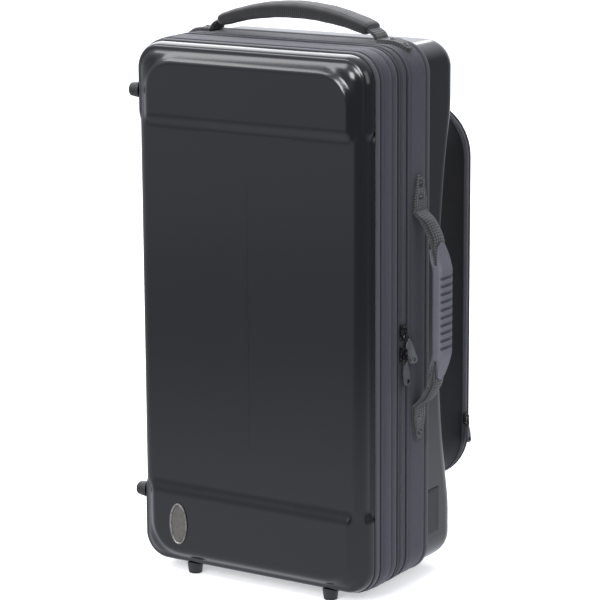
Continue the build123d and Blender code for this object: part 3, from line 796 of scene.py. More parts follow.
def strap_profile(half_wide: float, low: float, high: float, edge: float = 0.9) -> list:
    """Closed flat cross-section with rounded edges and a few points across.

    Args:
        half_wide: Half width in millimetres.
        low: Height of its lower face.
        high: Height of its upper face.
        edge: How far in its edges are rounded.

    Returns:
        The profile.
    """
    middle = (low + high) / 2
    points = []
    for side in (-1, 1):
        for x in (-1.0, -0.6, -0.2, 0.2, 0.6, 1.0):
            points.append((side * -x * (half_wide - edge), high if side > 0 else low))
        for wide, rise in ((half_wide - edge * 0.3, 0.3), (half_wide, 0.0),
                           (half_wide - edge * 0.3, -0.3)):
            points.append((side * -1.0 * wide, middle + side * (high - low) * rise))
    return points


# ---- paths
@dataclass(frozen=True)
class Loop:
    """Rounded outline across the case, from the middle of its left side down and round."""

    width: float
    height: float
    radius: float
    middle: float

    def inset(self, by: float) -> "Loop":
        """The same outline, set in."""
        return Loop(self.width - 2 * by, self.height - 2 * by, max(self.radius - by, 0.5),
                    self.middle)

    def parts(self) -> list:
        """Straights and corners in order: length, start point or corner middle, direction."""
        w, h, r = self.width / 2, self.height / 2, self.radius
        up, flat, bend = h - r, 2 * (w - r), math.pi * r / 2
        m = self.middle
        return [("line", up, (-w, m), (0, -1)),
                ("arc", bend, (-w + r, m - h + r), math.pi),
                ("line", flat, (-w + r, m - h), (1, 0)),
                ("arc", bend, (w - r, m - h + r), 1.5 * math.pi),
                ("line", 2 * up, (w, m - h + r), (0, 1)),
                ("arc", bend, (w - r, m + h - r), 0.0),
                ("line", flat, (w - r, m + h), (-1, 0)),
                ("arc", bend, (-w + r, m + h - r), 0.5 * math.pi),
                ("line", up, (-w, m + h - r), (0, -1))]

    def length(self) -> float:
        """Whole way round."""
        return sum(part[1] for part in self.parts())

    def at(self, run: float, y: float = 0.0) -> Station:
        """Station at a distance round the outline, with out pointing away from the case.

        Args:
            run: Distance round the outline.
            y: Depth in case millimetres.

        Returns:
            The station.
        """
        left = run % self.length()
        for kind, length, spot, way in self.parts():
            if left <= length + 1e-9:
                break
            left -= length
        if kind == "line":
            point = (spot[0] + way[0] * left, spot[1] + way[1] * left)
            out = (way[1], -way[0])
        else:
            angle = way + left / self.radius
            out = (math.cos(angle), math.sin(angle))
            point = (spot[0] + self.radius * out[0], spot[1] + self.radius * out[1])
        return Station(Vector((point[0], y, point[1])), BACK, Vector((out[0], 0, out[1])), run)

    def same_place(self, run: float, outer: "Loop") -> Vector:
        """Point of this outline that matches a distance round an outer one with the same middle.

        Args:
            run: Distance round the outer outline.
            outer: The outer outline.

        Returns:
            The point at depth 0.
        """
        left = run % outer.length()
        for mine, part in zip(self.parts(), outer.parts()):
            if left <= part[1] + 1e-9:
                break
            left -= part[1]
        kind, length, spot, way = mine
        share = left / part[1]
        if kind == "line":
            return Vector((spot[0] + way[0] * length * share, 0.0,
                           spot[1] + way[1] * length * share))
        angle = way + share * math.pi / 2
        return Vector((spot[0] + self.radius * math.cos(angle), 0.0,
                       spot[1] + self.radius * math.sin(angle)))

    def depth_inside(self, x: float, z: float) -> float:
        """Distance from a point inside to this outline."""
        reach_x = abs(x) - (self.width / 2 - self.radius)
        reach_z = abs(z - self.middle) - (self.height / 2 - self.radius)
        beyond = math.hypot(max(reach_x, 0.0), max(reach_z, 0.0)) + min(max(reach_x, reach_z), 0.0)
        return self.radius - beyond

    def stations(self, start: float, end: float, step: float) -> list[Station]:
        """Stations between two distances: every step on straights, finer round corners.

        Args:
            start: First distance.
            end: Last distance.
            step: Distance between stations on the straights.

        Returns:
            The stations in order.
        """
        marks = {start, end}
        walked = 0.0
        for kind, length, _, _ in self.parts():
            count = max(1, round(length / (step if kind == "line" else max(2.5, self.radius / 12))))
            for i in range(count + 1):
                mark = walked + length * i / count
                if start < mark < end:
                    marks.add(mark)
            walked += length
        ordered = sorted(marks)
        kept = [ordered[0]]
        for mark in ordered[1:]:
            if mark - kept[-1] > 0.05:
                kept.append(mark)
        return [self.at(mark) for mark in kept]

    def closed(self, step: float) -> list[Station]:
        """Stations all the way round, without the last one that meets the first."""
        return self.stations(0.0, self.length(), step)[:-1]

    def ring(self, y: float, grow: float = 0.0, straight: int = 10,
             corner: int = 10) -> list[Vector]:
        """Closed ring of points at one depth, with the same count on every outline.

        Args:
            y: Depth in case millimetres.
            grow: How far outside this outline the ring runs.
            straight: Points on each straight.
            corner: Points round each corner.

        Returns:
            The points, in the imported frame.
        """
        grown = self.inset(-grow)
        runs = []
        walked = 0.0
        for kind, length, _, _ in grown.parts():
            count = straight if kind == "line" else corner
            runs.extend(walked + length * i / count for i in range(count))
            walked += length
        return [grown.at(run, y).point(0.0, 0.0) for run in runs]


def smooth_line(points: Sequence[Vector], step: float = 2.0) -> list[Vector]:
    """Points along a smooth curve through the given ones, about a step apart.

    Args:
        points: Points that the curve passes.
        step: Distance between the new points.

    Returns:
        The new points.
    """
    made: list[Vector] = []
    padded = [points[0] * 2 - points[1], *points, points[-1] * 2 - points[-2]]
    for i in range(1, len(padded) - 2):
        a, b, c, d = padded[i - 1:i + 3]
        count = max(2, round((c - b).length / step))
        for k in range(count):
            t = k / count
            made.append(0.5 * ((2 * b) + (c - a) * t + (2 * a - 5 * b + 4 * c - d) * t ** 2
                               + (3 * b - a - 3 * c + d) * t ** 3))
    made.append(points[-1].copy())
    return made


def strap_stations(points: Sequence[Vector], across: Vector) -> list[Station]:
    """Stations along a smooth strap; out is to the left of its run, seen along across.

    Args:
        points: Points that the strap passes.
        across: Direction of its width.

    Returns:
        The stations in order.
    """
    line = smooth_line(points)
    stations = []
    run = 0.0
    for i, spot in enumerate(line):
        ahead = line[min(i + 1, len(line) - 1)] - line[max(i - 1, 0)]
        if i:
            run += (spot - line[i - 1]).length
        out = across.cross(ahead).normalized()
        stations.append(Station(spot, across, out, run))
    return stations


# ---- repeated pieces
class Repeat(Enum):
    """How a row of pieces finds its places."""

    ALONG = "along a line"
    SPOTS = "at given spots"


def repeat_tree(kind: Repeat) -> bpy.types.GeometryNodeTree:
    """Geometry Nodes tree that sets one piece again and again.

    The line or spots carry two vector attributes: "out" for the piece's own Z, and "along" for
    its X. Inputs are Unit, Pitch, Scale, Jitter, Seed and Finish.

    Args:
        kind: Along a line at a pitch, or at given spots.

    Returns:
        The tree, made once for each kind.
    """
    name = f"Repeat {kind.value}"
    if name in bpy.data.node_groups:
        return bpy.data.node_groups[name]
    tree = bpy.data.node_groups.new(name, "GeometryNodeTree")
    face = tree.interface
    face.new_socket("Geometry", in_out="INPUT", socket_type="NodeSocketGeometry")
    face.new_socket("Unit", in_out="INPUT", socket_type="NodeSocketObject")
    for label, value in (("Pitch", 0.003), ("Scale", 1.0), ("Jitter", 0.0)):
        face.new_socket(label, in_out="INPUT", socket_type="NodeSocketFloat").default_value = value
    face.new_socket("Seed", in_out="INPUT", socket_type="NodeSocketInt").default_value = 7
    face.new_socket("Finish", in_out="INPUT", socket_type="NodeSocketMaterial")
    face.new_socket("Geometry", in_out="OUTPUT", socket_type="NodeSocketGeometry")
    nodes, links = tree.nodes, tree.links
    source, sink = nodes.new("NodeGroupInput"), nodes.new("NodeGroupOutput")
    spots = source.outputs["Geometry"]
    if kind is Repeat.ALONG:
        curve = nodes.new("GeometryNodeMeshToCurve")
        resample = nodes.new("GeometryNodeResampleCurve")
        resample.mode = "LENGTH"
        links.new(spots, curve.inputs["Mesh"])
        links.new(curve.outputs["Curve"], resample.inputs["Curve"])
        links.new(source.outputs["Pitch"], resample.inputs["Length"])
        points = nodes.new("GeometryNodeCurveToPoints")
        points.mode = "EVALUATED"
        links.new(resample.outputs["Curve"], points.inputs["Curve"])
        spots = points.outputs["Points"]
    attributes = {}
    for label in ("out", "along"):
        read = nodes.new("GeometryNodeInputNamedAttribute")
        read.data_type = "FLOAT_VECTOR"
        read.inputs["Name"].default_value = label
        attributes[label] = read.outputs["Attribute"]
    turn = nodes.new("FunctionNodeAxesToRotation")
    turn.primary_axis = "Z"
    turn.secondary_axis = "X"
    links.new(attributes["out"], turn.inputs["Primary Axis"])
    links.new(attributes["along"], turn.inputs["Secondary Axis"])
    info = nodes.new("GeometryNodeObjectInfo")
    links.new(source.outputs["Unit"], info.inputs["Object"])
    wobble = nodes.new("FunctionNodeRandomValue")
    wobble.data_type = "FLOAT"
    grow = nodes.new("ShaderNodeMath")
    grow.operation = "ADD"
    shrink = nodes.new("ShaderNodeMath")
    shrink.operation = "SUBTRACT"
    for node in (grow, shrink):
        links.new(source.outputs["Scale"], node.inputs[0])
        links.new(source.outputs["Jitter"], node.inputs[1])
    low, high = [s for s in wobble.inputs if s.enabled and s.name in ("Min", "Max")]
    links.new(shrink.outputs[0], low)
    links.new(grow.outputs[0], high)
    links.new(source.outputs["Seed"], wobble.inputs["Seed"])
    instance = nodes.new("GeometryNodeInstanceOnPoints")
    links.new(spots, instance.inputs["Points"])
    links.new(info.outputs["Geometry"], instance.inputs["Instance"])
    links.new(turn.outputs["Rotation"], instance.inputs["Rotation"])
    links.new([s for s in wobble.outputs if s.enabled][0], instance.inputs["Scale"])
    realize = nodes.new("GeometryNodeRealizeInstances")
    paint = nodes.new("GeometryNodeSetMaterial")
    links.new(instance.outputs["Instances"], realize.inputs["Geometry"])
    links.new(realize.outputs["Geometry"], paint.inputs["Geometry"])
    links.new(source.outputs["Finish"], paint.inputs["Material"])
    links.new(paint.outputs["Geometry"], sink.inputs["Geometry"])
    return tree


@dataclass
class Row:
    """A row of one repeated piece, baked to a plain mesh.

    Attributes:
        name: Name of the finished piece.
        kind: Along a line at a pitch, or at given spots.
        finish: Its finish.
        pitch: Distance between pieces along a line, in millimetres.
        jitter: Largest random change of scale.
        seed: Seed of that change.
    """

    name: str
    kind: Repeat
    finish: Finish
    pitch: float = 3.0
    jitter: float = 0.0
    seed: int = 7

    def bake(self, unit: bpy.types.Object, lines: Sequence[Sequence[tuple]]) -> bpy.types.Object:
        """Set the unit along the lines or at the spots.

        Args:
            unit: Piece to repeat, in its own place and size in metres; it is removed afterwards.
            lines: Lists of (spot, out, along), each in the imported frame.

        Returns:
            Plain mesh object with every copy.
        """
        points, edges, outs, alongs = [], [], [], []
        for line in lines:
            first = len(points)
            for spot, out, along in line:
                points.append(tuple(spot))
                outs.append(tuple(out))
                alongs.append(tuple(along))
            if self.kind is Repeat.ALONG:
                edges.extend((first + i, first + i + 1) for i in range(len(line) - 1))
        mesh = bpy.data.meshes.new(self.name + " path")
        mesh.from_pydata(points, edges, [])
        for label, values in (("out", outs), ("along", alongs)):
            layer = mesh.attributes.new(label, "FLOAT_VECTOR", "POINT")
            layer.data.foreach_set("vector", [part for value in values for part in value])
        carrier = linked_object(self.name + " path", mesh)
        modifier = carrier.modifiers.new("Repeat", "NODES")
        tree = repeat_tree(self.kind)
        modifier.node_group = tree
        values = {"Unit": unit, "Pitch": self.pitch * MM, "Scale": 1.0, "Jitter": self.jitter,
                  "Seed": self.seed, "Finish": self.finish.material()}
        for item in tree.interface.items_tree:
            if item.in_out == "INPUT" and item.name in values:
                modifier[item.identifier] = values[item.name]
        baked = bpy.data.meshes.new_from_object(
            carrier.evaluated_get(bpy.context.evaluated_depsgraph_get()))
        for used in (carrier, unit):
            data = used.data
            bpy.data.objects.remove(used)
            bpy.data.meshes.remove(data)
        for layer in [a for a in baked.attributes if a.name in ("out", "along")]:
            baked.attributes.remove(layer)
        return finished(self.name, baked, self.finish, False)


def bead_unit(long: float, wide: float, tall: float, rings: int) -> bpy.types.Object:
    """Rounded bead for a stitch or tooth, X along, Y across and Z out, in millimetres.

    Args:
        long: Size along X.
        wide: Size along Y.
        tall: Size along Z.
        rings: Rings of faces from end to end.

    Returns:
        The bead, to be repeated.
    """
    shape = bmesh.new()
    bmesh.ops.create_uvsphere(shape, u_segments=6, v_segments=rings, radius=0.5)
    turn = Matrix.Rotation(math.pi / 2, 4, "Y")
    bmesh.ops.transform(shape, matrix=turn, verts=shape.verts)
    for vert in shape.verts:
        x, y, z = vert.co
        squarer = math.copysign(abs(2 * x) ** 0.7, x) / 2
        vert.co = Vector((squarer * long, y * wide, z * tall)) * MM
    mesh = bpy.data.meshes.new("Bead")
    shape.to_mesh(mesh)
    shape.free()
    return linked_object("Bead", mesh)


def turned_unit(outline: Profile, sides: int) -> bpy.types.Object:
    """Piece turned about its Z from (radius, height) points in millimetres, poles closed.

    Args:
        outline: Its outline.
        sides: Faces round it.

    Returns:
        The piece, to be repeated.
    """
    rows = []
    for i in range(sides):
        angle = math.tau * i / sides
        way = (math.cos(angle), math.sin(angle))
        rows.append([Vector((r * way[0], r * way[1], h)) * MM for r, h in outline])
    unit = skin("Turned", RIVET, rows, 1.0, True, False)
    seal(unit.data, 1e-6)
    return unit


def stitch_rows(name: str, lines: Sequence[Sequence[tuple]], pitch: float = 3.6,
                long: float = 2.7, wide: float = 0.7) -> bpy.types.Object:
    """Rows of sewing stitches along lines of (spot, out, along), sizes in millimetres."""
    row = Row(name, Repeat.ALONG, THREAD, pitch, 0.05, 3)
    return row.bake(bead_unit(long, wide, 0.55, 4), lines)


def loop_line(stations: Sequence[Station], across: float, out: float) -> list[tuple]:
    """Line for stitches round a loop at one height and depth.

    Args:
        stations: Places on the loop.
        across: Depth from the loop.
        out: Height over it.

    Returns:
        A list of (spot, out, along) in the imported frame.
    """
    line = []
    for i, station in enumerate(stations):
        near = stations[min(i + 1, len(stations) - 1)].spot - stations[max(i - 1, 0)].spot
        line.append((station.point(across, out), station.out, near.normalized()))
    return line


# ---- the case
CASE = Loop(298.4, 590.0, 30.5, 295.0)
POCKET_EDGE = Loop(280.0, 438.0, 60.0, 292.0)
LANES = Loop(276.8, 542.4, 20.0, 289.0)
HANDLE_Y = 33.0
HANDLE_Z = 304.9
SIDE_X = 152.2
STRAP_HALF = 13.25
LID_FRONT = -75.1


@dataclass
class SubAssembly:
    """A part of the case that is built together."""

    pieces: list[bpy.types.Object] = field(default_factory=list)

    def keep(self, piece: bpy.types.Object, slot: str, body: Optional[str] = None,
             nodes: Iterable[str] = ()) -> bpy.types.Object:
        """Fix a piece to its body and hide the nodes that it stands for.

        Args:
            piece: The finished piece.
            slot: Not used.
            body: Body that it rides on, or None for a piece that is blended between two.
            nodes: Nodes that it replaces.

        Returns:
            The same piece.
        """
        if body:
            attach(piece, body)
        for node in nodes:
            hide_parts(node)
        self.pieces.append(piece)
        log.info("%s: %d faces", piece.name, len(piece.data.polygons))
        return piece

    @staticmethod
    def dress(finish: Finish, *nodes: str) -> None:
        """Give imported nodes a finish."""
        for node in nodes:
            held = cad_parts[node]
            held.data.materials.clear()
            held.data.materials.append(finish.material())


@dataclass
class Shells(SubAssembly):
    """Moulded lid and base, with their feet and screws."""

    front: float = LID_FRONT
    mouth: float = -8.6
    wall: float = 3.5
    edge_radius: float = 22.8
    edge_tighter: float = 8.8
    steps: Pair = (90.0, 505.0)
    ramp: float = 7.5
    sink: float = 4.0
    lip: float = 0.11
    groove: float = 4.2
    field_width: float = 262.0
    field_radius: float = 38.0
    field_ends: Pair = (12.0, 573.5)
    field_past: float = 30.0

    def recess(self, z: float) -> float:
        """0 on the two pillows and 1 on the recessed panel between them."""
        low = smooth_step(z, self.steps[0] - self.ramp, self.steps[0] + self.ramp)
        high = smooth_step(z, self.steps[1] - self.ramp, self.steps[1] + self.ramp)
        return low * (1.0 - high)

    def plateau(self, x: float, z: float) -> float:
        """1 on a pillow's own raised field and 0 outside its rounded outline.

        Args:
            x: Place across the case.
            z: Height over its underside.

        Returns:
            The share of the field's height.
        """
        low, high = self.field_ends[0], self.steps[0] + self.field_past
        if z >= CASE.middle:
            low, high = self.steps[1] - self.field_past, self.field_ends[1]
        outline = Loop(self.field_width, high - low, self.field_radius, (low + high) / 2)
        return 1.0 - smooth_step(-outline.depth_inside(x, z), -5.0, 5.5)

    def skin_point(self, station: Station, way: float) -> Vector:
        """Point of the lid's outer skin.

        Args:
            station: Place on the case's outline.
            way: Below 0 on the side wall, 0 to 1 round the front edge, above 1 millimetres
                inwards.

        Returns:
            The point in case millimetres.
        """
        hollow = self.recess(station.spot.z)
        radius = self.edge_radius - self.edge_tighter * hollow
        edge = self.sink * hollow
        angle = min(max(way, 0.0), 1.0) * math.pi / 2
        inset = edge + radius * (1.0 - math.cos(angle))
        y = self.front + edge + radius * (1.0 - math.sin(angle))
        if way < 0.0:
            sunk = edge * (1.0 - smooth_step(-way, 0.0, self.lip))
            return station.spot - station.out * sunk + Vector((
                0.0, y + (self.mouth - y) * -way, 0.0))
        spot = CASE.inset(inset + max(way - 1.0, 0.0)).same_place(station.run, CASE)
        if way > 0.0:
            hollow = self.recess(spot.z)
            deep = CASE.depth_inside(spot.x, spot.z)
            dip = smooth_step(deep, 2.0, 9.0) * (1.0 - self.plateau(spot.x, spot.z))
            if way >= 1.0:
                y = self.front + self.sink * hollow
            y += self.groove * dip * (1.0 - hollow)
        return Vector((spot.x, y, spot.z))

    def lid_skin(self) -> None:
        """Outer skin with its soft steps and grooves, closed by a plain inner skin."""
        stations = CASE.closed(2.6)
        ways = [-1.0, -0.5, -0.2] + [-i / 100 for i in range(13, 0, -1)]
        ways += [i / 14 for i in range(1, 14)] + [1.0]
        ways += [1.0 + 1.3 * i for i in range(1, 12)] + [16.0 + 2.5 * i for i in range(1, 20)]
        ways += [65.0 + 1.6 * i for i in range(1, 20)] + [97.0 + 5.0 * i for i in range(1, 7)]
        rows = [[place(*self.skin_point(s, way)) for s in stations] for way in ways]
        inner = []
        for inset, y in ((self.wall, self.mouth), (self.wall + 4.0, self.mouth - 2.0),
                         (self.wall + 4.0, self.front + 24.0), (14.0, self.front + 11.0),
                         (26.0, self.front + 7.6), (90.0, self.front + 7.6),
                         (127.0, self.front + 7.6)):
            loop = CASE.inset(inset)
            inner.append([loop.same_place(s.run, CASE) for s in stations])
            inner[-1] = [place(spot.x, y, spot.z) for spot in inner[-1]]
        moulding = skin("Lid moulding", SHELL, list(reversed(inner)) + rows, 4.0)
        self.keep(moulding, "shell_gloss_black", "lid", ["lid_shell"])

    def build(self) -> None:
        """Lay the lid's skin and dress the base, the feet and their screws."""
        self.lid_skin()
        self.dress(SHELL, "base_shell")
        feet = [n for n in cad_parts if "_foot_" in n and not n.endswith("screws")]
        self.dress(FOOT, *feet)
        self.dress(SCREW, "lid_foot_screws", "base_foot_screws")


@dataclass
class Bands(SubAssembly):
    """Cloth bands round both mouths, their bound edges, piping and stitching."""

    zip_piping: Pair = (-9.1, 9.3)
    lid_seams: Pair = (-39.8, -22.4)
    base_seams: Pair = (14.9, 49.6)
    edge: Profile = ((51.3, 0.15), (51.35, 1.8), (51.9, 2.9), (53.2, 3.5), (54.8, 3.78),
                     (56.4, 3.78), (57.5, 3.3), (58.1, 2.2), (58.2, 0.15))
    binding: Profile = ((-51.7, 0.12), (-51.8, 0.7), (-51.0, 1.45), (-49.4, 1.85),
                        (-46.8, 1.95), (-45.0, 1.7), (-43.9, 1.1), (-43.6, 0.12))

    def lid_profile(self, station: Station) -> Profile:
        """Lid band: two padded ribs between three stitched seams."""
        lift = 0.12 * math.sin(station.run / 41.0)
        return [(-43.2, 0.15), (-43.3, 1.2), (-43.1, 2.2), (-42.2, 2.75), (-40.8, 2.8),
                (-39.8, 2.4), (-38.6, 2.8), (-33.0, 3.1), (-27.5, 3.4 + lift), (-24.6, 3.2),
                (-23.3, 2.85), (-22.4, 2.35), (-21.5, 2.85), (-19.0, 3.25), (-15.2, 3.45),
                (-12.2, 3.2), (-10.6, 2.6), (-9.9, 1.6), (-9.9, 0.15)]

    def base_profile(self, station: Station) -> Profile:
        """Base band: flat from the zip to the seam of its rolled edge."""
        lift = 0.1 * math.sin(station.run / 37.0 + 1.0)
        return [(9.9, 0.15), (9.9, 1.5), (10.3, 2.5), (11.4, 3.1), (13.4, 3.15), (14.9, 2.7),
                (16.2, 3.05), (22.0, 3.12), (31.0, 3.14 + lift), (41.0, 3.1), (47.4, 3.05),
                (49.6, 2.65), (50.8, 1.9), (51.0, 0.15)]

    def build(self) -> None:
        """Sweep each strip round the case and sew it."""
        round_case = CASE.closed(9.0)
        for name, profile, finish, slot, body, nodes in (
                ("Lid band cloth", self.lid_profile, BAND, "band_nylon", "lid", ["lid_band"]),
                ("Lid edge tape", self.binding, EDGE_TAPE, "edge_binding", "lid",
                 ["lid_binding"]),
                ("Base band cloth", self.base_profile, BAND, "band_nylon", "base",
                 ["base_band"]),
                ("Base rolled edge", self.edge, EDGE_TAPE, "edge_binding", "base",
                 ["base_piping"]),
                ("Lid zip piping", round_profile(self.zip_piping[0], 2.55, 0.8, 8), PIPING,
                 "edge_binding", "lid", []),
                ("Base zip piping", round_profile(self.zip_piping[1], 2.55, 0.8, 8), PIPING,
                 "edge_binding", "base", [])):
            self.keep(strip(name, finish, round_case, profile, True), slot, body, nodes)
        whole = CASE.stations(0.0, CASE.length(), 9.0)
        for name, body, spots, out in (("Lid band stitches", "lid", self.lid_seams, 2.5),
                                       ("Base band stitches", "base", self.base_seams, 2.75)):
            lines = [loop_line(whole, y, out) for y in spots]
            self.keep(stitch_rows(name, lines), "band_nylon", body)


@dataclass
class MainZip(SubAssembly):
    """Zip round the case: tapes, coil, sliders and the fabric hinge."""

    end_foot: float = 70.0
    end_head: float = 520.0
    tape_out: float = 2.2
    tooth_pitch: float = 2.5
    hinge_foot: float = 70.8
    hinge_section: Profile = ((-9.2, 1.5), (-9.1, 2.5), (-5.6, 2.9), (-2.0, 3.05), (2.0, 3.05),
                              (5.6, 2.9), (9.1, 2.5), (9.2, 1.5))

    def span(self) -> Pair:
        """Distances round the case where the zip starts and ends."""
        return CASE.middle - self.end_foot, CASE.length() - (self.end_head - CASE.middle)

    def build(self) -> None:
        """Lay both tapes, set the coil's teeth and close the left side with the hinge."""
        start, end = self.span()
        path = CASE.stations(start, end, 10.0)
        for body, side in (("lid", -1), ("base", 1)):
            word = body.title()
            flat = [(side * y, self.tape_out + rise) for y, rise in
                    ((0.5, 0.0), (2.6, 0.1), (4.4, 0.0), (7.4, 0.15), (9.4, 0.0))]
            flat = [(side * 0.5, 1.4), *flat, (side * 9.4, 1.4)]
            self.keep(strip(f"{word} woven tape", ZIP_TAPE, path, flat), "zip_tape", body,
                      [f"{body}_zip_tape"])
            offset = 0.0 if side < 0 else self.tooth_pitch / 2
            teeth = CASE.stations(start + offset, end - 1.0 + offset, 6.0)
            line = [(s.point(side * 1.45, self.tape_out + 0.72), s.out, s.across) for s in teeth]
            row = Row(f"{word} zip coil", Repeat.ALONG, COIL, self.tooth_pitch)
            self.keep(row.bake(bead_unit(4.6, 1.35, 1.7, 5), [line]), "zip_coil", body,
                      [f"{body}_zip_chain"])
            lines = [loop_line(path, side * y, self.tape_out + 0.15) for y in (4.6, 6.9)]
            self.keep(stitch_rows(f"{word} tape stitches", lines, 2.6, 1.9, 0.5),
                      "zip_tape", body)
        self.hinge()
        self.dress(SLIDER, "upper_slider", "lower_slider", "upper_pull_link", "lower_pull_link")
        self.dress(RIVET, "lower_pull_eyelet")
        self.dress(PULL, "lower_pull_tab")

    def hinge(self) -> None:
        """Strip of cloth between the two bands on the left."""
        stations = [Station(Vector((-CASE.width / 2, 0, self.hinge_foot + run)), BACK, LEFT, run)
                    for run in (i * 8.0 for i in range(57))]
        piece = strip("Hinge cloth", BAND, stations, self.hinge_section)
        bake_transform(piece, "base", "lid", start=tuple(place(-153.4, 6, 295)),
                 end=tuple(place(-153.4, -6, 295)))
        self.keep(piece, "band_nylon", None, ["fabric_hinge"])
        for body, y in (("lid", -7.4), ("base", 7.4)):
            lines = [[(s.point(y, 2.75), s.out, UP) for s in stations]]
            self.keep(stitch_rows(f"{body.title()} hinge stitches", lines), "band_nylon", body)


@dataclass
class PullTab(SubAssembly):
    """Upper zip pull: a rubber tab that has twisted to face forwards, with its metal eyelet."""

    top: Triple = (157.2, 3.3, 275.4)
    foot: Triple = (158.6, 14.8, 247.5)
    twist: float = 50.0
    half_wide: float = 5.6
    neck: float = 2.6
    thick: float = 1.15
    eyelet: Profile = ((3.1, -1.5), (3.3, -0.9), (3.3, 0.9), (3.0, 1.45), (2.4, 1.7), (1.9, 1.5),
                       (1.7, 1.0), (1.7, -1.0), (1.9, -1.5), (2.4, -1.7))

    def frame_at(self, share: float) -> tuple[Vector, Vector, Vector]:
        """Middle, width direction and face direction at a share of the tab's length."""
        top, foot = Vector(self.top), Vector(self.foot)
        down = (foot - top).normalized()
        angle = math.radians(self.twist) * smooth_step(share, 0.05, 0.75)
        face = (RIGHT - down * RIGHT.dot(down)).normalized()
        wide = down.cross(face)
        turned = face * math.cos(angle) + wide * math.sin(angle)
        return top + (foot - top) * share, down.cross(turned), turned

    def half_at(self, share: float) -> float:
        """Half width: a narrow neck, then a long waisted pad with a round foot."""
        neck = self.neck + (self.half_wide - self.neck) * smooth_step(share, 0.0, 0.16)
        waist = 0.5 * math.exp(-((share - 0.55) / 0.16) ** 2)
        end = max(0.0, share - 0.86) / 0.14
        return max((neck - waist) * math.sqrt(max(1.0 - end ** 2.2, 0.0)), 0.35)

    def section_at(self, share: float) -> list[Vector]:
        """Ring of points round the tab, with a raised rim along both edges."""
        spot, wide, face = self.frame_at(share)
        half = self.half_at(share)
        thick = self.thick if share < 0.94 else self.thick - 0.5 * (share - 0.94) / 0.06
        ring = []
        for k in range(20):
            angle = math.tau * k / 20
            a = half * math.copysign(abs(math.cos(angle)) ** 0.7, math.cos(angle))
            rim = 0.3 * smooth_step(abs(a) / half, 0.55, 0.8) if 0.2 < share < 0.95 else 0.0
            o = (thick + rim) * math.copysign(abs(math.sin(angle)) ** 0.6, math.sin(angle))
            ring.append(place(*(spot + wide * a + face * o)))
        return ring

    def build(self) -> None:
        """Sweep the tab down its length while it turns, and set the eyelet near its foot."""
        tab = skin("Upper twisted pull", PULL, [self.section_at(i / 36) for i in range(37)], 0.8)
        self.keep(tab, "pull_rubber", "upper_pull", ["upper_pull_tab"])
        spot, wide, face = self.frame_at(0.8)
        loops = []
        for i in range(28):
            angle = math.tau * i / 28
            way = wide * math.cos(angle) + face.cross(wide) * math.sin(angle)
            loops.append([place(*(spot + way * r + face * h)) for r, h in self.eyelet])
        self.keep(skin("Upper pull ring", RIVET, loops, 0.7, True), "slider_metal", "upper_pull",
                  ["upper_pull_eyelet"])


